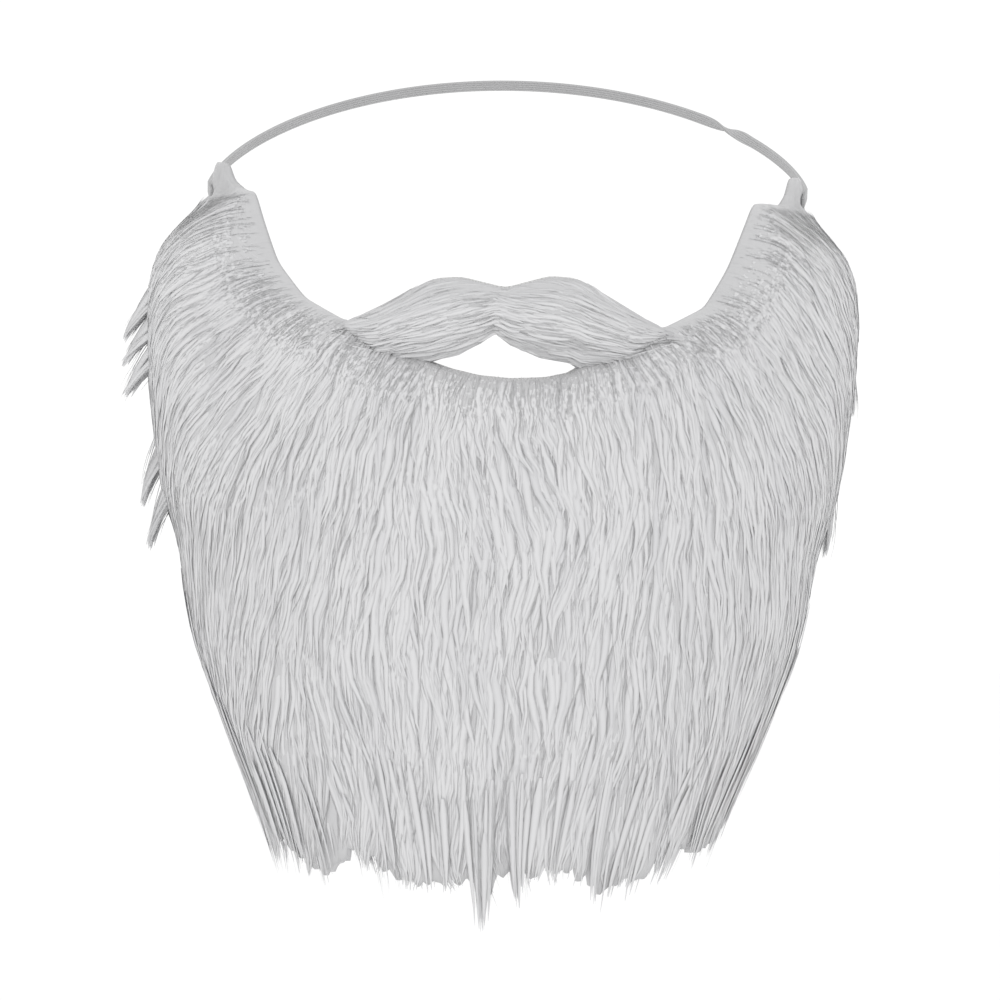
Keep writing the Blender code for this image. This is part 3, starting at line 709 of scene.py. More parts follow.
def fringe_locks():
    """Guide lines of the pointed locks along the lower edge, and the angle of each one's root."""
    rng = np.random.default_rng(FRINGE_SEED)
    share = np.linspace(0.0, 1.0, GUIDE_STEPS)
    parts, roots = [], []
    count = FRINGE_GUIDES
    for lock in FRINGE_LOCKS:
        spread = rng.uniform(-0.5, 0.5, count)
        angle = lock.angle + spread * lock.width / 0.0012
        angle = np.clip(angle, -TAB_EDGE, TAB_EDGE)
        root_height = lower_edge(angle) + rng.uniform(-0.002, 0.022, count)
        root_height = np.minimum(root_height, lock.tip_height + rng.uniform(0.024, 0.042, count))
        tip_height = lock.tip_height - 0.0030
        tip_height = tip_height + np.abs(spread) * 0.016 * rng.uniform(0.4, 1.0, count)
        heights = root_height[:, None] + (tip_height - root_height)[:, None] * share
        angles = np.repeat(angle[:, None], GUIDE_STEPS, axis=1)
        layer = rng.uniform(0.75, 1.0, (count, 1))
        lift = bed_height(angles, heights) * (0.55 + 0.45 * layer)
        points, away = face_place(angles, heights, lift + 0.0006 * layer)
        drawn = share[None, :] ** 1.4
        tip_x = lock.tip_x + spread[:, None] * lock.width * 0.42
        on_the_front = ramp(64.0 - np.abs(angle[:, None]), 16.0)
        points[:, :, 0] += on_the_front * drawn * (tip_x - points[:, -1:, 0])
        tone, girth = rng.uniform(0.35, 0.75, count), rng.uniform(0.5, 1.0, count)
        parts.append(Guides(points, lock_facing(away, angles, heights), tone, girth))
        roots.append(np.full(count, lock.angle))
    joined = parts[0]
    for part in parts[1:]:
        joined = joined.joined(part)
    return joined, np.concatenate(roots)


def moustache_depth(angle, level):
    """Thickness of the moustache's bed: full along the middle of a wing, thin at its edges and tip."""
    crown = np.sin(math.pi * np.clip(level, 0.03, 0.97)) ** 0.6
    narrow = ramp(NOTCH + 3.0 - np.abs(angle), 13.0, 0.15)
    middle = 0.62 + 0.38 * np.minimum(np.abs(angle) / 9.0, 1.0)
    return 0.0010 + 0.0058 * crown * narrow * middle


def moustache_guides():
    """Guide lines of both wings. They run outwards, following the wing between its two edges."""
    rng = np.random.default_rng(MOUSTACHE_SEED)
    rows = 12
    angle, level, side = [], [], []
    for way in (-1.0, 1.0):
        for row in range(rows):
            along = np.arange(-2.5, NOTCH - 3.0, 1.1)
            angle.append(way * (along + rng.uniform(-0.5, 0.5, len(along))))
            level.append((row + rng.uniform(0.1, 0.9, len(along))) / rows)
            side.append(np.full(len(along), way))
    angle, level, side = np.concatenate(angle), np.concatenate(level), np.concatenate(side)
    length = rng.uniform(0.015, 0.023, len(angle))
    length = length * (0.55 + 0.45 * np.minimum(np.abs(angle) / 9.0, 1.0))
    length = np.minimum(length, (NOTCH + 1.5 - np.abs(angle)) * DEGREE_OF_WING + 0.005)
    share = np.linspace(0.0, 1.0, GUIDE_STEPS)[None, :]
    angles = angle[:, None] + side[:, None] * length[:, None] * share / DEGREE_OF_WING
    inside = np.clip(angles, 1.0 - NOTCH, NOTCH - 1.0)
    top, bottom = upper_edge(inside) - 0.0016, moustache_bottom(inside) - 0.0002
    levels = np.clip(level[:, None] * (1.0 - 0.12 * share) + 0.01, 0.01, 0.99)
    heights = bottom + (top - bottom) * levels
    beyond = np.maximum(np.abs(angles) - (NOTCH - 1.0), 0.0)
    heights -= beyond * DEGREE_OF_CLOTH * 0.50
    wave = np.sin(share * 6.0 + rng.uniform(0.0, math.tau, (len(angle), 1)))
    heights += 0.0004 * share * wave
    drooping = ramp(np.abs(angles) - 13.0, 8.0) * (1.0 - levels) ** 2
    heights -= 0.0040 * drooping * share
    stand = rng.uniform(0.00002, 0.00014, (len(angle), 1))
    rise = 1.0 - (1.0 - share) ** 2.0
    beside = ramp(np.abs(angles) - (NOTCH - 4.0), 6.0)
    beard_under = bed_height(angles, heights)
    over_beard = np.maximum(beside * beard_under, drooping * beard_under)
    base = np.maximum(moustache_depth(angles, levels), over_beard)
    lift = np.maximum(base - 0.00015 + (stand + 0.00015) * rise, 0.0004)
    points, outward = face_place(angles, heights, lift)
    tone = np.clip(0.55 + rng.normal(0.0, 0.12, len(angle)), 0.0, 1.0)
    return Guides(points, outward, tone, rng.uniform(0.6, 1.0, len(angle)))


def guide_mesh(name, guides):
    """The guides as open polylines, with the way they face, their tones and their girths as attributes."""
    count, steps = guides.points.shape[:2]
    start = np.arange(count)[:, None] * steps + np.arange(steps - 1)[None, :]
    edges = np.stack([start, start + 1], axis=-1).reshape(-1, 2)
    mesh = bpy.data.meshes.new(name)
    mesh.from_pydata(guides.points.reshape(-1, 3).tolist(), edges.tolist(), [])
    outward = mesh.attributes.new("outward", "FLOAT_VECTOR", "POINT")
    outward.data.foreach_set("vector", guides.outward.astype(np.float32).ravel())
    for title, values in (("tone", guides.tone), ("girth", guides.girth)):
        attribute = mesh.attributes.new(title, "FLOAT", "POINT")
        attribute.data.foreach_set("value", np.repeat(values, steps).astype(np.float32))
    return mesh


class Tree:
    """A node tree being built, with short ways to add nodes and join them."""

    def __init__(self, name, kind):
        self.tree = bpy.data.node_groups.new(name, kind)

    def socket(self, name, kind, way="INPUT", default=None, low=None, high=None):
        made = self.tree.interface.new_socket(name, in_out=way, socket_type="NodeSocket" + kind)
        if default is not None:
            made.default_value = default
        if low is not None:
            made.min_value, made.max_value = low, high
        return made.identifier

    def add(self, kind, settings=None, **inputs):
        return add_node(self.tree, kind, settings, **inputs)

    def maths(self, operation, *values):
        return maths(self.tree, operation, *values)

    def vector(self, operation, *values, scale=None):
        node = self.add("ShaderNodeVectorMath", {"operation": operation})
        for socket, value in zip(node.inputs, values):
            plug(self.tree, socket, value)
        if scale is not None:
            plug(self.tree, node.inputs["Scale"], scale)
        return node.outputs["Value" if operation in ("DOT_PRODUCT", "LENGTH") else "Vector"]


def plug(tree, socket, value):
    """Give a socket a fixed value, or join another node's output to it."""
    if isinstance(value, bpy.types.NodeSocket):
        tree.links.new(value, socket)
    elif value is not None:
        socket.default_value = value


def add_node(tree, kind, settings=None, **inputs):
    """A node with its settings and inputs. An input's name has underscores for its spaces."""
    node = tree.nodes.new(kind)
    for name, value in (settings or {}).items():
        setattr(node, name, value)
    for name, value in inputs.items():
        wanted = name.replace("_", " ")
        socket = next(s for s in node.inputs if s.name == wanted and s.enabled)
        plug(tree, socket, value)
    return node


def out(node, name):
    """The output of that name that is in use."""
    return next(s for s in node.outputs if s.name == name and s.enabled)


def maths(tree, operation, *values):
    node = tree.nodes.new("ShaderNodeMath")
    node.operation = operation
    for socket, value in zip(node.inputs, values):
        plug(tree, socket, value)
    return node.outputs["Value"]


def strand_tree():
    """Tapered, slightly wavy locks or strands round each guide line, and the names of the tree's inputs."""
    made = Tree("Pile strands", "GeometryNodeTree")
    names = {
        "Geometry": made.socket("Geometry", "Geometry"),
        "Strands": made.socket("Strands", "Int", default=1),
        "Width": made.socket("Width", "Float", default=0.0028),
        "Root spread": made.socket("Root spread", "Float", default=0.0003),
        "Tip spread": made.socket("Tip spread", "Float", default=0.0003),
        "Outward spread": made.socket("Outward spread", "Float", default=0.10),
        "Flatness": made.socket("Flatness", "Float", default=0.03),
        "Sides": made.socket("Sides", "Int", default=3),
        "Waviness": made.socket("Waviness", "Float", default=0.0010),
        "Shortest": made.socket("Shortest", "Float", default=0.70),
        "Seed": made.socket("Seed", "Int", default=1),
        "Material": made.socket("Material", "Material"),
    }
    made.socket("Geometry", "Geometry", "OUTPUT")
    given = made.add("NodeGroupInput").outputs
    lines = made.add("GeometryNodeMeshToCurve", Mesh=given["Geometry"])
    copies = made.add(
        "GeometryNodeDuplicateElements",
        {"domain": "SPLINE"},
        Geometry=out(lines, "Curve"),
        Amount=given["Strands"],
    )
    strand = out(made.add("GeometryNodeCurveOfPoint"), "Curve Index")

    def chance(low, high, step, kind="FLOAT_VECTOR"):
        seed = made.maths("ADD", given["Seed"], float(step))
        node = made.add(
            "FunctionNodeRandomValue", {"data_type": kind}, Min=low, Max=high, ID=strand, Seed=seed
        )
        return out(node, "Value")

    def named(title, kind="FLOAT"):
        node = made.add("GeometryNodeInputNamedAttribute", {"data_type": kind}, Name=title)
        return out(node, "Attribute")

    def with_values(geometry, title, value):
        kinds = {"data_type": "FLOAT", "domain": "POINT"}
        node = made.add(
            "GeometryNodeStoreNamedAttribute", kinds, Geometry=geometry, Name=title, Value=value
        )
        return out(node, "Geometry")

    share = out(made.add("GeometryNodeSplineParameter"), "Factor")
    outward = named("outward", "FLOAT_VECTOR")
    side_step = chance((-1.0,) * 3, (1.0,) * 3, 11)
    standing = made.vector("DOT_PRODUCT", side_step, outward)
    kept = made.maths("SUBTRACT", 1.0, given["Outward spread"])
    flattened = made.vector("SCALE", outward, scale=made.maths("MULTIPLY", standing, kept))
    side_step = made.vector("SUBTRACT", side_step, flattened)
    eased = made.maths("POWER", share, 0.8)
    spread = made.add(
        "ShaderNodeMapRange", Value=eased, To_Min=given["Root spread"], To_Max=given["Tip spread"]
    )
    offset = made.vector("SCALE", side_step, scale=out(spread, "Result"))

    place = out(made.add("GeometryNodeInputPosition"), "Position")
    start = chance((-9.0,) * 3, (9.0,) * 3, 23)
    start = made.vector("SCALE", start, scale=0.02)
    noise = made.add("ShaderNodeTexNoise", Vector=made.vector("ADD", place, start), Scale=70.0, Detail=1.0)
    curl = made.vector("SUBTRACT", out(noise, "Color"), (0.5, 0.5, 0.5))
    curl = made.vector("SCALE", curl, scale=made.maths("MULTIPLY", share, given["Waviness"]))
    curl_outward = made.vector("DOT_PRODUCT", curl, outward)
    curl = made.vector("SUBTRACT", curl, made.vector("SCALE", outward, scale=curl_outward))
    offset = made.vector("ADD", offset, made.vector("SCALE", curl, scale=2.0))
    moved = made.add("GeometryNodeSetPosition", Geometry=out(copies, "Geometry"), Offset=offset)

    cut = chance(given["Shortest"], 1.0, 37, "FLOAT")
    trimmed = made.add("GeometryNodeTrimCurve", Curve=out(moved, "Geometry"), End=cut)
    own_tone = made.maths("MULTIPLY_ADD", chance(-0.5, 0.5, 41, "FLOAT"), 0.5, named("tone"))
    toned = with_values(out(trimmed, "Curve"), "strand_tone", own_tone)
    placed = with_values(toned, "strand_share", share)
    taper = made.maths("SUBTRACT", 1.0, made.maths("POWER", share, 2.6))
    opening = made.maths("MINIMUM", made.maths("MULTIPLY_ADD", share, 3.2, 0.4), 1.0)
    radius = made.maths("MULTIPLY", made.maths("MULTIPLY_ADD", taper, 0.47, 0.03), opening)
    width = made.maths("MULTIPLY", radius, made.maths("MULTIPLY", given["Width"], named("girth")))
    inward = made.vector("SCALE", outward, scale=-1.0)
    faced = made.add("GeometryNodeSetCurveNormal", {"mode": "FREE"}, Curve=placed, Normal=inward)
    profile = made.add("GeometryNodeCurvePrimitiveCircle", Resolution=given["Sides"], Radius=1.0)
    beside = made.add("ShaderNodeSeparateXYZ", Vector=place)
    profile = with_values(out(profile, "Curve"), "strand_side", out(beside, "Y"))
    squashed = made.add("ShaderNodeCombineXYZ", X=given["Flatness"], Y=1.0, Z=1.0)
    profile = made.add("GeometryNodeTransform", Geometry=profile, Scale=out(squashed, "Vector"))
    swept = made.add(
        "GeometryNodeCurveToMesh",
        Curve=out(faced, "Curve"),
        Profile_Curve=out(profile, "Geometry"),
        Scale=width,
        Fill_Caps=True,
    )
    shaded = made.add("GeometryNodeSetShadeSmooth", Geometry=out(swept, "Mesh"))
    real = made.add("GeometryNodeRealizeInstances", Geometry=out(shaded, "Geometry"))
    painted = made.add(
        "GeometryNodeSetMaterial", Geometry=out(real, "Geometry"), Material=given["Material"]
    )
    made.add("NodeGroupOutput", Geometry=out(painted, "Geometry"))
    return made.tree, names


def run_tree(name, mesh, tree_and_names, values, material):
    """The mesh that a tree makes from another, as a plain object at the origin."""
    tree, names = tree_and_names
    carrier = bpy.data.objects.new(name, mesh)
    bpy.context.scene.collection.objects.link(carrier)
    modifier = carrier.modifiers.new("Nodes", "NODES")
    modifier.node_group = tree
    for title, value in {**values, "Material": material}.items():
        modifier[names[title]] = value
    depsgraph = bpy.context.evaluated_depsgraph_get()
    made = bpy.data.meshes.new_from_object(
        carrier.evaluated_get(depsgraph), preserve_all_data_layers=True, depsgraph=depsgraph
    )
    made.name = name
    carrier.modifiers.remove(modifier)
    carrier.data = made
    for title in ("tone", "girth"):
        if title in made.attributes:
            made.attributes.remove(made.attributes[title])
    return carrier


def lock_values(pile, width=1.0):
    """What the strand tree is given for flat locks."""
    return {
        "Strands": 1,
        "Width": width * pile.lock_width,
        "Root spread": 0.0003,
        "Tip spread": 0.0003,
        "Outward spread": 0.10,
        "Waviness": 0.0006,
        "Shortest": 0.85,
        "Flatness": 0.03,
        "Sides": 6,
        "Seed": 1,
    }


def strand_values(pile):
    """What the strand tree is given for fine strands over the locks."""
    return {
        "Strands": pile.strands,
        "Width": pile.strand_width,
        "Root spread": 0.6 * pile.guide_spacing,
        "Tip spread": 0.35 * pile.guide_spacing,
        "Waviness": 0.0014,
        "Shortest": 0.70,
        "Outward spread": 0.02,
        "Flatness": 0.25,
        "Sides": 3,
        "Seed": 500,
    }


def dressed(piece):
    """Ride a piece on the beard's one body."""
    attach(piece, BODY)
    return piece


def new_material(name):
    """A new material, its node tree and its shader."""
    material = bpy.data.materials.new(name)
    material.use_nodes = True
    return material, material.node_tree, material.node_tree.nodes["Principled BSDF"]


def blend_colours(tree, factor, first, second):
    node = tree.nodes.new("ShaderNodeMix")
    node.data_type = "RGBA"
    plug(tree, node.inputs["Factor"], factor)
    colours = [s for s in node.inputs if s.type == "RGBA"]
    plug(tree, colours[0], first)
    plug(tree, colours[1], second)
    return next(s for s in node.outputs if s.type == "RGBA")


def set_inputs(shader, **values):
    """Values that are the same all over, on the shader's own sockets."""
    for name, value in values.items():
        shader.inputs[name.replace("_", " ")].default_value = value


def group_in(tree, group, **inputs):
    """A node group in a material, with its inputs."""
    node = tree.nodes.new("ShaderNodeGroup")
    node.node_tree = group
    for name, value in inputs.items():
        plug(tree, node.inputs[name.replace("_", " ")], value)
    return node


def pile_tint_group():
    """Colour of white pile: soft clouds of tone over the beard, and a tone given by each material, which
    holds random tone and painted shade.
    """
    if "Pile tint" in bpy.data.node_groups:
        return bpy.data.node_groups["Pile tint"]
    made = Tree("Pile tint", "ShaderNodeTree")
    made.socket("Place", "Vector")
    made.socket("Tone", "Float", default=0.5)
    made.socket("Colour", "Color")
    made.socket("Shade", "Color")
    made.socket("Colour", "Color", "OUTPUT")
    given = made.add("NodeGroupInput").outputs
    clouds = made.add("ShaderNodeTexNoise", Vector=given["Place"], Scale=24.0, Detail=2.0)
    own_tone = made.maths("MULTIPLY", given["Tone"], 0.75)
    mixed = made.maths("MULTIPLY_ADD", out(clouds, "Fac"), 0.5, own_tone)
    clamped = made.add("ShaderNodeMapRange", Value=mixed, From_Min=0.25, From_Max=0.85)
    colour = blend_colours(made.tree, out(clamped, "Result"), given["Shade"], given["Colour"])
    made.add("NodeGroupOutput", Colour=colour)
    return made.tree


def fibres_group():
    """Height of the fine fibres that run along a lock."""
    if "Lock fibres" in bpy.data.node_groups:
        return bpy.data.node_groups["Lock fibres"]
    made = Tree("Lock fibres", "ShaderNodeTree")
    made.socket("Side", "Float")
    made.socket("Along", "Float")
    made.socket("Tone", "Float", default=0.5)
    made.socket("Height", "Float", "OUTPUT")
    given = made.add("NodeGroupInput").outputs
    across = made.maths("MULTIPLY_ADD", given["Tone"], 60.0, made.maths("MULTIPLY", given["Side"], 3.2))
    along = made.maths("MULTIPLY", given["Along"], 1.6)
    place = out(made.add("ShaderNodeCombineXYZ", X=across, Y=along, Z=given["Tone"]), "Vector")
    noise = made.add("ShaderNodeTexNoise", Vector=place, Scale=1.0, Detail=3.0, Roughness=0.6)
    made.add("NodeGroupOutput", Height=out(noise, "Fac"))
    return made.tree


def pile_material(pile):
    """Locks and strands of white pile, with painted shade that darkens them towards the root, deep in the
    pile, and where the fibre pattern is low.
    """
    if "white_pile_strands" in bpy.data.materials:
        return bpy.data.materials["white_pile_strands"]
    material, tree, shader = new_material("white_pile_strands")
    place = tree.nodes.new("ShaderNodeTexCoord").outputs["Object"]
    found = {}
    for title in ("strand_tone", "strand_share", "strand_side", "outward"):
        found[title] = tree.nodes.new("ShaderNodeAttribute")
        found[title].attribute_name = title
    tone, share, side = (found["strand_" + part].outputs["Fac"] for part in ("tone", "share", "side"))
    fibres = group_in(tree, fibres_group(), Side=side, Along=share, Tone=tone)
    # Painted shade: darker towards each strand's root, deep in the pile, and where the fibres' height is low
    lit = maths(tree, "MULTIPLY_ADD", share, 0.35, -0.30)
    lit = maths(tree, "MULTIPLY_ADD", fibres.outputs["Height"], 0.5, lit)
    tint = group_in(
        tree,
        pile_tint_group(),
        Place=place,
        Tone=maths(tree, "ADD", tone, lit),
        Colour=(*pile.colour, 1.0),
        Shade=(*pile.shade, 1.0),
    )
    tree.links.new(tint.outputs["Colour"], shader.inputs["Base Color"])
    rough = add_node(tree, "ShaderNodeMapRange", Value=tone, To_Min=0.66, To_Max=0.54)
    tree.links.new(out(rough, "Result"), shader.inputs["Roughness"])
    combed = group_in(
        tree,
        combed_normal_group(),
        Own=tree.nodes.new("ShaderNodeNewGeometry").outputs["Normal"],
        Pile=found["outward"].outputs["Vector"],
        Share=0.88,
    )
    bump = add_node(
        tree,
        "ShaderNodeBump",
        Strength=0.25,
        Distance=0.0002,
        Height=fibres.outputs["Height"],
        Normal=combed.outputs["Normal"],
    )
    tree.links.new(out(bump, "Normal"), shader.inputs["Normal"])
    set_inputs(shader, Specular_IOR_Level=0.2, Sheen_Weight=0.15, Sheen_Roughness=0.5)
    return material


def combed_normal_group():
    """A strand's own normal drawn towards the way the whole pile faces, or away from it at its back."""
    if "Combed normal" in bpy.data.node_groups:
        return bpy.data.node_groups["Combed normal"]
    made = Tree("Combed normal", "ShaderNodeTree")
    made.socket("Own", "Vector")
    made.socket("Pile", "Vector")
    made.socket("Share", "Float", default=0.6)
    made.socket("Normal", "Vector", "OUTPUT")
    given = made.add("NodeGroupInput").outputs
    own = made.vector("SCALE", given["Own"], scale=made.maths("SUBTRACT", 1.0, given["Share"]))
    behind = made.maths("LESS_THAN", made.vector("DOT_PRODUCT", given["Own"], given["Pile"]), -0.35)
    turned = made.maths("MULTIPLY_ADD", behind, -2.0, 1.0)
    pile = made.vector("SCALE", given["Pile"], scale=made.maths("MULTIPLY", turned, given["Share"]))
    made.add("NodeGroupOutput", Normal=made.vector("NORMALIZE", made.vector("ADD", own, pile)))
    return made.tree


def bed_material(pile):
    """The dense bed under the strands, with fine grooves along the way the pile lies, in colours darker than
    the locks' as painted shade deep under them, and painted shade darker still in its grooves.
    """
    if "white_pile_bed" in bpy.data.materials:
        return bpy.data.materials["white_pile_bed"]
    material, tree, shader = new_material("white_pile_bed")
    place = tree.nodes.new("ShaderNodeTexCoord").outputs["Object"]
    lie = tree.nodes.new("ShaderNodeUVMap")
    lie.uv_map = "Lie"
    stretched = add_node(tree, "ShaderNodeMapping", Vector=lie.outputs["UV"], Scale=(1.0, 0.05, 1.0))
    fibres = add_node(tree, "ShaderNodeTexNoise", Vector=out(stretched, "Vector"), Scale=1600.0, Detail=3.0)
    # Painted shade: darker where the fibre grooves are low, in colours darker than the locks' for shade deep
    # under them
    tint = group_in(
        tree,
        pile_tint_group(),
        Place=place,
        Tone=maths(tree, "MULTIPLY_ADD", out(fibres, "Fac"), 0.8, -0.25),
        Colour=(*pile.bed_colour_with_shade, 1.0),
        Shade=(*pile.bed_shade, 1.0),
    )
    tree.links.new(tint.outputs["Colour"], shader.inputs["Base Color"])
    bump = add_node(tree, "ShaderNodeBump", Strength=0.8, Distance=0.0006, Height=out(fibres, "Fac"))
    tree.links.new(out(bump, "Normal"), shader.inputs["Normal"])
    set_inputs(shader, Roughness=0.75, Sheen_Weight=0.15)
    return material


def new_piece(name, points, faces, material):
    """A smooth mesh object in the scene."""
    mesh = bpy.data.meshes.new(name)
    mesh.from_pydata(points.tolist(), [], faces)
    mesh.materials.append(material)
    mesh.shade_smooth()
    piece = bpy.data.objects.new(name, mesh)
    bpy.context.scene.collection.objects.link(piece)
    return piece


def grid_faces(rows, columns):
    """Faces of a grid of points, turned outwards."""
    first = np.arange(rows - 1)[:, None] * columns + np.arange(columns - 1)[None, :]
    first = first.ravel()
    return np.stack([first, first + 1, first + columns + 1, first + columns], axis=1)


def shell(name, inner, outer, material):
    """A closed wall between two grids of points, [rows, columns, 3], the outer one facing out."""
    rows, columns = inner.shape[:2]
    count = rows * columns
    front = grid_faces(rows, columns)
    back = front[:, ::-1] + count
    around = [(0, k) for k in range(columns)]
    around += [(k, columns - 1) for k in range(1, rows)]
    around += [(rows - 1, k) for k in range(columns - 2, -1, -1)]
    around += [(k, 0) for k in range(rows - 2, 0, -1)]
    ring = [row * columns + column for row, column in around]
    rim = [(b, a, a + count, b + count) for a, b in zip(ring, ring[1:] + ring[:1])]
    points = np.concatenate([outer.reshape(-1, 3), inner.reshape(-1, 3)])
    return new_piece(name, points, front.tolist() + back.tolist() + rim, material)


def set_map(piece, title, across, along):
    """A UV map in metres from one pair of numbers for each vertex."""
    layer = piece.data.uv_layers.new(name=title)
    corners = np.empty(len(piece.data.loops), dtype=np.int32)
    piece.data.loops.foreach_get("vertex_index", corners)
    places = np.stack([across, along], axis=1)[corners].astype(np.float32)
    layer.data.foreach_set("uv", places.ravel())


def lie_of_pile(angles, heights):
    """A number across the way the pile lies at each place, and one along it, in metres."""
    turn = np.radians(groom(angles, heights))
    across, down = angles * DEGREE_OF_CLOTH, -(heights + 0.05)
    cos, sin = np.cos(turn), np.sin(turn)
    return across * cos - down * sin, across * sin + down * cos


def beard_bed(pile):
    """The bed of fur behind the locks. It rolls over the cloth's upper cut edge, and below the cloth
    it hangs as a wedge down to the ragged edge."""
    rows, columns = 76, 230
    angles = np.linspace(0.4 - TAB_EDGE, TAB_EDGE - 0.4, columns)[None, :].repeat(rows, axis=0)
    level = np.linspace(0.0, 1.0, rows)[:, None] ** 0.9
    ragged = soft_noise(np.random.default_rng(RAGGED_SEED), 0.0050, 9)(angles, np.zeros_like(angles))
    low = read(LOWEST_PILE, "angle", "height", angles, 1.2) + 0.0016 + 0.0010 * ragged
    cut = beard_top(angles) - 0.0009 * ramp(15.0 - np.abs(angles), 3.0)
    high = cut - 0.0004
    heights = low + (high - low) * level
    across, along = lie_of_pile(angles, heights)
    ridge_noise = soft_noise(np.random.default_rng(RIDGE_SEED), 0.0065, 11)
    ridges = ridge_noise(across / DEGREE_OF_CLOTH, 0.16 * along)
    full = bed_height(angles, heights)
    lift = np.maximum(full + 0.00005 * ridges * ramp(full, 0.006) - 0.00010, 0.0009)
    on_tongue = ramp(heights - 0.0005, 0.002)
    under_elastic = ramp(np.abs(angles) - 74.5, 1.0)
    lift += on_tongue * (0.0008 - 0.0005 * under_elastic - lift)
    hanging = ramp(lower_edge(angles) - heights, lower_edge(angles) - low)
    inside = 0.0001 + (0.82 * lift - 0.0001) * hanging
    # Each row of the roll: its rise over the edge, and its lift as a share of the bed's or of the cloth's
    rolled = [(0.0003, 0.55), (0.0006, 0.1), (0.0006, -1.0), (0.0005, -1.9)]
    roll_height = np.stack([cut[-1] + rise for rise, _ in rolled])
    roll_lift = np.stack([np.where(turn > 0.0, turn * lift[-1], turn * 0.00115) for _, turn in rolled])
    within_lift = np.stack([np.full(columns, k) for k in (0.0001, -0.0002, -0.0010, -0.0019)])
    within_height = np.repeat(cut[-1:] + 0.00005, len(rolled), axis=0)
    outer, _ = face_place(
        np.concatenate([angles, angles[: len(rolled)]]),
        np.concatenate([heights, roll_height]),
        np.concatenate([lift, roll_lift]),
    )
    inner, _ = face_place(
        np.concatenate([angles, angles[: len(rolled)]]),
        np.concatenate([heights, within_height]),
        np.concatenate([inside, within_lift]),
    )
    piece = shell("beard_bed", inner, outer, bed_material(pile))
    more = len(rolled)
    across, along = (np.concatenate([part, part[-1:].repeat(more, axis=0)]) for part in (across, along))
    set_map(piece, "Lie", np.tile(across.ravel(), 2), np.tile(along.ravel(), 2))
    return piece


def moustache_bed(pile):
    """The bed of fur behind the moustache's locks, thick along the middle of each wing."""
    rows, columns = 26, 140
    angles = np.linspace(0.5 - NOTCH, NOTCH - 0.5, columns)[None, :].repeat(rows, axis=0)
    level = np.linspace(0.0, 1.0, rows)[:, None] + 0.0 * angles
    low, high = moustache_bottom(angles) - 0.0004, upper_edge(angles) - 0.0010
    high = np.maximum(high, low + 0.0008)
    heights = low + (high - low) * level
    outer, _ = face_place(angles, heights, moustache_depth(angles, level))
    inner, _ = face_place(angles, heights, np.full_like(angles, 0.0004))
    piece = shell("moustache_bed", inner, outer, bed_material(pile))
    set_map(piece, "Lie", np.tile(heights.ravel(), 2), np.tile(angles.ravel() * DEGREE_OF_CLOTH, 2))
    return piece


def knit_group():
    """Height of a plain knit from a map in metres: ribs of stacked loops."""
    if "Knit" in bpy.data.node_groups:
        return bpy.data.node_groups["Knit"]
    made = Tree("Knit", "ShaderNodeTree")
    made.socket("Place", "Vector")
    made.socket("Stitches per metre", "Float", default=900.0)
    made.socket("Height", "Float", "OUTPUT")
    given = made.add("NodeGroupInput").outputs
    parts = made.add("ShaderNodeSeparateXYZ", Vector=given["Place"])
    turns = made.maths("MULTIPLY", given["Stitches per metre"], math.tau)
    across = made.maths("MULTIPLY", out(parts, "X"), turns)
    along = made.maths("MULTIPLY", out(parts, "Y"), made.maths("MULTIPLY", turns, 1.3))
    rib = made.maths("ABSOLUTE", made.maths("SINE", made.maths("MULTIPLY", across, 0.5)))
    slanted = made.maths("ADD", along, made.maths("MULTIPLY", rib, 2.6))
    loop = made.maths("ABSOLUTE", made.maths("SINE", made.maths("MULTIPLY", slanted, 0.5)))
    height = made.maths("ADD", made.maths("POWER", rib, 0.6), made.maths("MULTIPLY", loop, 0.55))
    made.add("NodeGroupOutput", Height=made.maths("MULTIPLY", height, 0.6))
    return made.tree


def backing_material(backing):
    """Plain knitted cloth with a random mottle, and painted shade that darkens it between its stitches."""
    if "knitted_cloth" in bpy.data.materials:
        return bpy.data.materials["knitted_cloth"]
    material, tree, shader = new_material("knitted_cloth")
    place = tree.nodes.new("ShaderNodeTexCoord").outputs["Object"]
    cloth = tree.nodes.new("ShaderNodeUVMap")
    cloth.uv_map = "Cloth"
    knit = group_in(tree, knit_group(), Place=cloth.outputs["UV"], Stitches_per_metre=880.0)
    mottle = add_node(tree, "ShaderNodeTexNoise", Vector=place, Scale=60.0, Detail=4.0)
    # Painted shade: the colour is darker where the knit is low, between the stitches, over a random mottle
    raised = maths(tree, "MULTIPLY", knit.outputs["Height"], 0.5)
    mottle_and_stitch_shade = maths(tree, "MULTIPLY_ADD", out(mottle, "Fac"), 0.6, raised)
    dark = tuple(0.80 * c for c in backing.colour)
    colour = blend_colours(tree, mottle_and_stitch_shade, (*dark, 1.0), (*backing.colour, 1.0))
    tree.links.new(colour, shader.inputs["Base Color"])
    bump = add_node(
        tree, "ShaderNodeBump", Strength=0.9, Distance=0.0004, Height=knit.outputs["Height"]
    )
    tree.links.new(out(bump, "Normal"), shader.inputs["Normal"])
    set_inputs(shader, Roughness=0.9, Sheen_Weight=0.25)
    return material


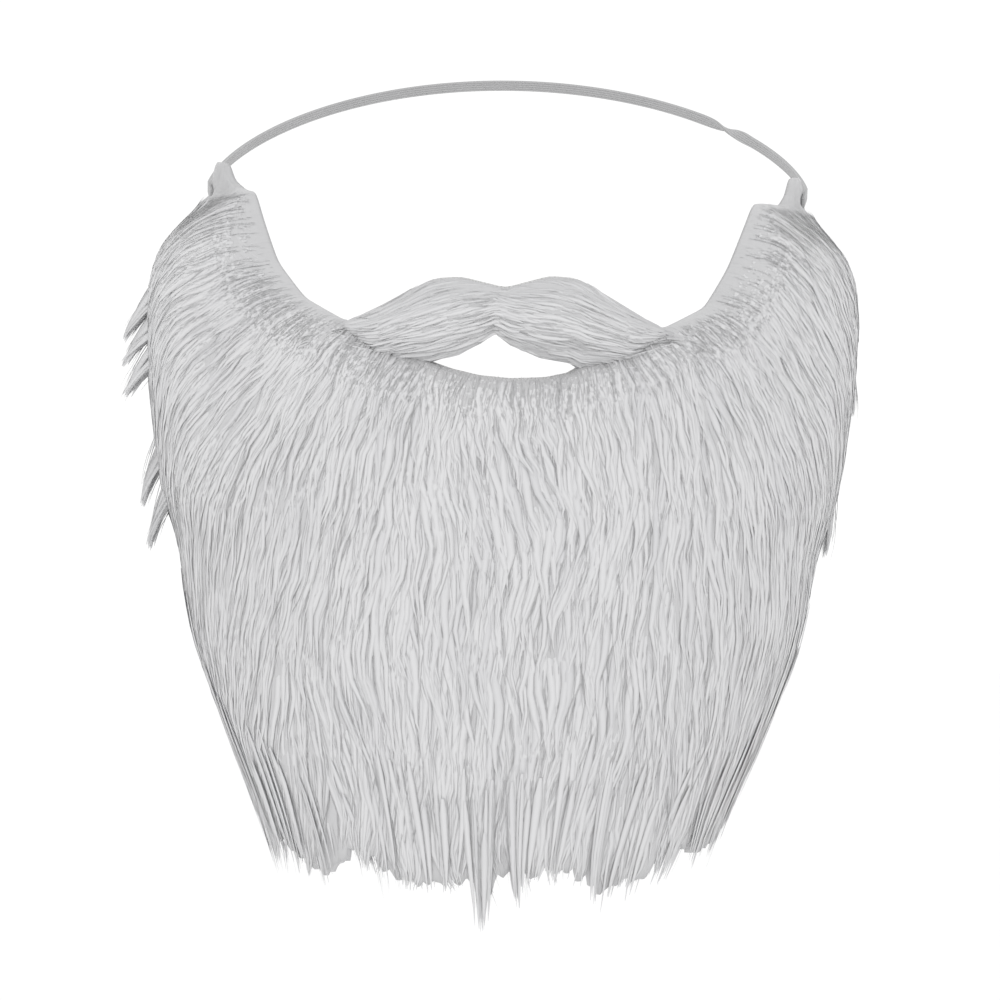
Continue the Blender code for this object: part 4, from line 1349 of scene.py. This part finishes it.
def knitted_backing(backing):
    """The cloth with its tabs and mouth opening, and each point's place across and along it. The rows
    above and below the mouth share their points everywhere but along it."""
    fine = np.linspace(-TAB_EDGE, TAB_EDGE, 125)
    mouth_corners, tongue_corners = [MOUTH_TOP[0].angle, MOUTH_TOP[-1].angle], [-79.0, -72.5, 72.5, 79.0]
    fine = np.unique(np.round(np.concatenate([fine, mouth_corners, tongue_corners]), 3))
    lower_rows, upper_rows = 34, 16
    low = lower_edge(fine)
    high = upper_edge(fine) - 0.0006 * ramp(NOTCH - np.abs(fine), 6.0)
    lip = read(PARTING, "angle", "height", fine)
    cheek = low + (high - low) * 0.78
    inward = ease(ramp(np.abs(fine) - NOTCH, 12.0))
    over_lip, over_cheek = np.minimum(lip, high - 0.0002), high - 0.0002 + (cheek - high) * inward
    middle = np.where(np.abs(fine) < NOTCH, over_lip, over_cheek)
    opened = (fine > MOUTH_TOP[0].angle) & (fine < MOUTH_TOP[-1].angle)
    above = np.where(opened, read(MOUTH_TOP, "angle", "height", fine), middle)
    lower_part = low + (middle - low) * np.linspace(0.0, 1.0, lower_rows)[:, None]
    upper_part = above + (high - above) * np.linspace(0.0, 1.0, upper_rows)[:, None]
    heights = np.concatenate([lower_part, upper_part])
    columns = len(fine)
    angles = np.repeat(fine[None, :], len(heights), axis=0)
    outer, _ = face_place(angles, heights, np.zeros_like(angles))
    inner, _ = face_place(angles, heights, np.full_like(angles, -backing.thickness))

    used = np.arange(len(heights) * columns).reshape(len(heights), columns)
    used[lower_rows, ~opened] = used[lower_rows - 1, ~opened]
    rows = [row for row in range(len(heights) - 1) if row != lower_rows - 1]
    front = []
    for r in rows:
        for c in range(columns - 1):
            front.append((used[r, c], used[r, c + 1], used[r + 1, c + 1], used[r + 1, c]))
    points = np.concatenate([outer.reshape(-1, 3), inner.reshape(-1, 3)])
    piece = closed_cloth("knitted_backing", points, front, backing_material(backing))
    across = np.tile((angles * metres_per_degree(angles, heights)).ravel(), 2)
    along = np.tile(heights.ravel(), 2)
    return piece, across, along


def closed_cloth(name, points, front, material):
    """Cloth from its outer faces: the inner skin and the cut edges are added."""
    count = len(points) // 2
    sides = {}
    for face in front:
        for first, second in zip(face, face[1:] + face[:1]):
            sides[(first, second)] = sides.get((first, second), 0) + 1
    rim = [(a, b) for a, b in sides if (b, a) not in sides]
    faces = [tuple(int(i) for i in face) for face in front]
    faces += [tuple(int(i) + count for i in reversed(face)) for face in front]
    faces += [(int(b), int(a), int(a) + count, int(b) + count) for a, b in rim]
    return new_piece(name, points, faces, material)


def elastic_line(lift):
    """The elastic's middle line and the way its width points, with a half turn on its way round."""
    one = np.array([TAB_EDGE])
    leaving, _ = face_place(one, np.array([ELASTIC_LEAVING_HEIGHT]), np.array([lift]))
    leaving = leaving[0]
    behind = np.array([0.0, ELASTIC_BACK_Y - leaving[1], ELASTIC_BACK_HEIGHT - leaving[2]])
    slope = behind[2] / behind[1]
    sewn_angles = np.linspace(ELASTIC_SEWN_ANGLE, TAB_EDGE, 9)[:-1]
    level = np.full_like(sewn_angles, leaving[2])
    flat, _ = face_place(sewn_angles, level, np.full_like(sewn_angles, lift))
    level = leaving[2] + slope * (flat[:, 1] - leaving[1])
    sewn, _ = face_place(sewn_angles, level, np.full_like(sewn_angles, lift))
    share = np.linspace(0.0, 1.0, 241)
    turn = math.pi * share
    around = np.maximum(np.sin(turn), 0.0)
    backwards = leaving[1] + behind[1] * around
    upwards = leaving[2] + behind[2] * around ** ELASTIC_SAG
    loop = np.stack([-leaving[0] * np.cos(turn), backwards, upwards], axis=1)
    mirror = np.array([-1.0, 1.0, 1.0])
    line = np.concatenate([sewn * mirror, loop, sewn[::-1]])
    turned = ramp(share - TWIST_START, TWIST_END - TWIST_START)
    twist = math.pi * ease(turned)
    twist = np.concatenate([np.zeros(len(sewn)), twist, np.full(len(sewn), math.pi)])
    line[:, 2] += ELASTIC_TILT * line[:, 0]
    across = np.array([0.0, -slope, 1.0]) / math.hypot(slope, 1.0)
    return line, across, twist


def elastic_band(elastic):
    """Rubber cords side by side under a braid, swept along the elastic's line."""
    lift = ELASTIC_GAP + 0.5 * elastic.thickness
    line, across, twist = elastic_line(lift)
    ahead = np.gradient(line, axis=0)
    ahead /= np.linalg.norm(ahead, axis=1, keepdims=True)
    outward = np.cross(ahead, across[None, :])
    outward /= np.linalg.norm(outward, axis=1, keepdims=True)
    wide = across[None, :] * np.cos(twist)[:, None] + outward * np.sin(twist)[:, None]
    thin = np.cross(ahead, wide)
    thin /= np.linalg.norm(thin, axis=1, keepdims=True)
    half = 0.5 * elastic.width
    steps = elastic.cords * 6
    place = np.linspace(-1.0, 1.0, steps + 1)
    ridge = 0.74 + 0.26 * np.abs(np.sin(0.5 * math.pi * elastic.cords * (place + 1.0)))
    ridge *= ramp(1.0 - np.abs(place), 0.12) ** 0.5
    upper = np.stack([place, ridge], axis=1)
    lower = np.stack([place, -ridge], axis=1)[::-1][1:-1]
    profile = np.concatenate([upper, lower])
    wavering = np.random.default_rng(ELASTIC_SEED).normal(0.0, 1.0, len(line))
    wavering = np.convolve(wavering, np.ones(9) / 9.0, mode="same") * 0.10 + 1.0
    points = line[:, None, :] + wide[:, None, :] * (half * profile[None, :, 0:1])
    thickened = thin[:, None, :] * (0.5 * elastic.thickness * profile[None, :, 1:2])
    points = points + thickened * wavering[:, None, None]
    rings, sides = points.shape[:2]
    faces = []
    for ring in range(0, (rings - 1) * sides, sides):
        for side in range(sides):
            after = (side + 1) % sides
            faces.append((ring + side, ring + after, ring + sides + after, ring + sides + side))
    faces.append(tuple(range(sides))[::-1])
    faces.append(tuple(range((rings - 1) * sides, rings * sides)))
    piece = new_piece("braided_elastic", points.reshape(-1, 3), faces, elastic_material(elastic))
    length = np.concatenate([[0.0], np.cumsum(np.linalg.norm(np.diff(line, axis=0), axis=1))])
    along = np.repeat(length, sides)
    wide_place = np.tile(profile[:, 0] * half, rings)
    set_map(piece, "Braid", along, wide_place)
    outward_faces(piece.data)
    return piece


def drop_loose_points(piece):
    """Delete points that no face uses."""
    bm = bmesh.new()
    bm.from_mesh(piece.data)
    bmesh.ops.delete(bm, geom=[v for v in bm.verts if not v.link_faces], context="VERTS")
    bm.to_mesh(piece.data)
    bm.free()


def outward_faces(mesh):
    """Turn every face of a closed mesh outwards."""
    bm = bmesh.new()
    bm.from_mesh(mesh)
    bmesh.ops.recalc_face_normals(bm, faces=bm.faces)
    bm.to_mesh(mesh)
    bm.free()


def elastic_material(elastic):
    """Rubber cords under a fine braid of crossing slanted threads, with painted shade in the grooves between
    them over a random mottle.
    """
    if "braided_elastic" in bpy.data.materials:
        return bpy.data.materials["braided_elastic"]
    material, tree, shader = new_material("braided_elastic")
    braid = tree.nodes.new("ShaderNodeUVMap")
    braid.uv_map = "Braid"
    parts = add_node(tree, "ShaderNodeSeparateXYZ", Vector=braid.outputs["UV"])
    along, across = out(parts, "X"), out(parts, "Y")
    cord_pitch = elastic.width / elastic.cords
    turns = maths(tree, "MULTIPLY", across, math.pi / cord_pitch)
    cords = maths(tree, "ABSOLUTE", maths(tree, "COSINE", turns))
    threads = []
    for way in (1.0, -1.0):
        slanted = maths(tree, "MULTIPLY_ADD", across, way * 1.1, along)
        turns = maths(tree, "MULTIPLY", slanted, 3400.0)
        threads.append(maths(tree, "ABSOLUTE", maths(tree, "SINE", turns)))
    height = maths(tree, "MULTIPLY_ADD", maths(tree, "MAXIMUM", *threads), 0.30, cords)
    place = tree.nodes.new("ShaderNodeTexCoord").outputs["Object"]
    mottle = add_node(tree, "ShaderNodeTexNoise", Vector=place, Scale=60.0, Detail=2.0)
    # Painted shade: darker in the grooves between the cords and threads, lighter on their raised tops, over
    # a random mottle
    shade = maths(tree, "MULTIPLY_ADD", height, 0.62, maths(tree, "MULTIPLY", out(mottle, "Fac"), 0.3))
    dark = tuple(0.70 * c for c in elastic.colour)
    colour = blend_colours(tree, shade, (*dark, 1.0), (*elastic.colour, 1.0))
    tree.links.new(colour, shader.inputs["Base Color"])
    bump = add_node(tree, "ShaderNodeBump", Strength=0.5, Distance=0.00012, Height=height)
    tree.links.new(out(bump, "Normal"), shader.inputs["Normal"])
    set_inputs(shader, Roughness=0.7, Sheen_Weight=0.2)
    return material


def settings():
    """The scene's settings of the beard's looks."""
    return bpy.context.scene.fake_beard_looks


class FAKEBEARD_OT_knit_backing(bpy.types.Operator):
    """Make the knitted cloth with its ear tabs and mouth opening"""

    bl_idname = "fake_beard.knit_backing"
    bl_label = "Knit backing"

    def execute(self, context):
        piece, across, along = knitted_backing(settings().backing)
        set_map(piece, "Cloth", across, along)
        drop_loose_points(piece)
        dressed(piece)
        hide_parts("backing_cloth")
        return {"FINISHED"}


class FAKEBEARD_OT_lay_beds(bpy.types.Operator):
    """Make the dense beds of fur that lie on the cloth under the locks"""

    bl_idname = "fake_beard.lay_beds"
    bl_label = "Lay fur beds"

    def execute(self, context):
        dressed(beard_bed(settings().pile))
        dressed(moustache_bed(settings().pile))
        return {"FINISHED"}


class FAKEBEARD_OT_grow_beard(bpy.types.Operator):
    """Grow the beard's long locks and their strands, in five parts from ear to ear"""

    bl_idname = "fake_beard.grow_beard"
    bl_label = "Grow beard"

    def execute(self, context):
        pile = settings().pile
        guides, roots = beard_guides(pile)
        for more, more_roots in (stray_locks(), fringe_locks()):
            guides, roots = guides.joined(more), np.concatenate([roots, more_roots])
        tree = strand_tree()
        for index, sector in enumerate(SECTORS):
            chosen = guides.part((roots >= sector.first) & (roots < sector.last))
            for layer, values in (("locks", lock_values(pile)), ("strands", strand_values(pile))):
                name = f"beard_{layer}_{sector.name}"
                values["Seed"] += 100 * index
                piece = run_tree(name, guide_mesh(name, chosen), tree, values, pile_material(pile))
                dressed(piece)
                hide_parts("beard_fur")
        return {"FINISHED"}


class FAKEBEARD_OT_grow_moustache(bpy.types.Operator):
    """Grow the shorter locks and strands of the moustache's two wings"""

    bl_idname = "fake_beard.grow_moustache"
    bl_label = "Grow moustache"

    def execute(self, context):
        pile = settings().pile
        tree, guides = strand_tree(), moustache_guides()
        short = {"Root spread": 0.0007, "Tip spread": 0.0004, "Waviness": 0.0004}
        for layer, values in (("locks", lock_values(pile, 0.65)), ("strands", strand_values(pile))):
            name = f"moustache_{layer}"
            values.update(short)
            piece = run_tree(name, guide_mesh(name, guides), tree, values, pile_material(pile))
            dressed(piece)
            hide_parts("moustache_fur")
        return {"FINISHED"}


class FAKEBEARD_OT_braid_elastic(bpy.types.Operator):
    """Make the flat braided elastic from tab to tab"""

    bl_idname = "fake_beard.braid_elastic"
    bl_label = "Braid elastic"

    def execute(self, context):
        piece = dressed(elastic_band(settings().elastic))
        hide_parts("elastic_strap")
        return {"FINISHED"}


class FAKEBEARD_OT_set_stage(bpy.types.Operator):
    """Add the pale floor, the soft light and the camera"""

    bl_idname = "fake_beard.set_stage"
    bl_label = "Set stage"

    def execute(self, context):
        stage = settings().stage
        scene = bpy.context.scene
        scene.view_settings.view_transform = "Standard"
        floor_mesh = bpy.data.meshes.new("floor")
        wide, low = FLOOR_HALF_WIDTH, stage.floor_height
        corners = [(-wide, -wide, low), (wide, -wide, low), (wide, wide, low), (-wide, wide, low)]
        floor_mesh.from_pydata(corners, [], [(0, 1, 2, 3)])
        material, tree, shader = new_material("pale_floor")
        place = tree.nodes.new("ShaderNodeTexCoord").outputs["Object"]
        grain = add_node(tree, "ShaderNodeTexNoise", Vector=place, Scale=3.0, Detail=2.0)
        pale, paler = (0.965, 0.965, 0.965, 1.0), (0.98, 0.98, 0.98, 1.0)
        colour = blend_colours(tree, out(grain, "Fac"), pale, paler)
        tree.links.new(colour, shader.inputs["Base Color"])
        set_inputs(shader, Roughness=0.9)
        floor_mesh.materials.append(material)
        floor = bpy.data.objects.new("floor", floor_mesh)
        scene.collection.objects.link(floor)

        world = bpy.data.worlds.new("white_surround")
        world.use_nodes = True
        background = world.node_tree.nodes["Background"]
        background.inputs["Color"].default_value = (1.0, 1.0, 1.0, 1.0)
        background.inputs["Strength"].default_value = stage.surround
        scene.world = world

        key_data = bpy.data.lights.new("key", "AREA")
        key_data.shape = "RECTANGLE"
        key_data.size, key_data.size_y = KEY_SIZE
        key_data.energy = stage.key_power
        key = bpy.data.objects.new("key", key_data)
        scene.collection.objects.link(key)
        key.location = KEY_PLACE
        aim(key, Vector(KEY_TARGET))

        camera_data = bpy.data.cameras.new("camera")
        camera_data.sensor_width = SENSOR_WIDTH * 1000.0
        camera_data.lens = SENSOR_WIDTH * 1000.0 * CAMERA_DISTANCE / VIEW_WIDTH
        camera = bpy.data.objects.new("camera", camera_data)
        scene.collection.objects.link(camera)
        upright = Matrix.Rotation(math.radians(90.0), 4, "X")
        rolled = Matrix.Rotation(math.radians(CAMERA_ROLL), 4, "Z")
        camera.matrix_world = Matrix.Translation((0.0, -CAMERA_DISTANCE, CAMERA_HEIGHT)) @ upright @ rolled
        scene.camera = camera
        return {"FINISHED"}


def aim(lamp, target):
    """Turn a light towards a place."""
    lamp.rotation_mode = "QUATERNION"
    lamp.rotation_quaternion = (target - lamp.location).to_track_quat("-Z", "Y")


class FakeBeardLooks(bpy.types.PropertyGroup):
    """All settings of the fake beard's looks."""

    pile: PointerProperty(type=PileSettings)
    backing: PointerProperty(type=BackingSettings)
    elastic: PointerProperty(type=ElasticSettings)
    stage: PointerProperty(type=StageSettings)


class FAKEBEARD_PT_looks(bpy.types.Panel):
    """Buttons for the beard's pieces and its stage."""

    bl_label = "Fake beard"
    bl_idname = "FAKEBEARD_PT_looks"
    bl_space_type = "VIEW_3D"
    bl_region_type = "UI"
    bl_category = "Fake beard"

    def draw(self, context):
        for operator in OPERATORS:
            self.layout.operator(operator.bl_idname)


OPERATORS = (
    FAKEBEARD_OT_knit_backing,
    FAKEBEARD_OT_lay_beds,
    FAKEBEARD_OT_grow_beard,
    FAKEBEARD_OT_grow_moustache,
    FAKEBEARD_OT_braid_elastic,
    FAKEBEARD_OT_set_stage,
)
CLASSES = (
    PileSettings,
    BackingSettings,
    ElasticSettings,
    StageSettings,
    FakeBeardLooks,
    *OPERATORS,
    FAKEBEARD_PT_looks,
)


def register():
    for kind in CLASSES:
        bpy.utils.register_class(kind)
    bpy.types.Scene.fake_beard_looks = PointerProperty(type=FakeBeardLooks)


def unregister():
    del bpy.types.Scene.fake_beard_looks
    for kind in reversed(CLASSES):
        bpy.utils.unregister_class(kind)


def main():
    register()
    bpy.ops.fake_beard.knit_backing()
    bpy.ops.fake_beard.lay_beds()
    bpy.ops.fake_beard.grow_beard()
    bpy.ops.fake_beard.grow_moustache()
    bpy.ops.fake_beard.braid_elastic()
    bpy.ops.fake_beard.set_stage()


if __name__ == "__main__":
    main()
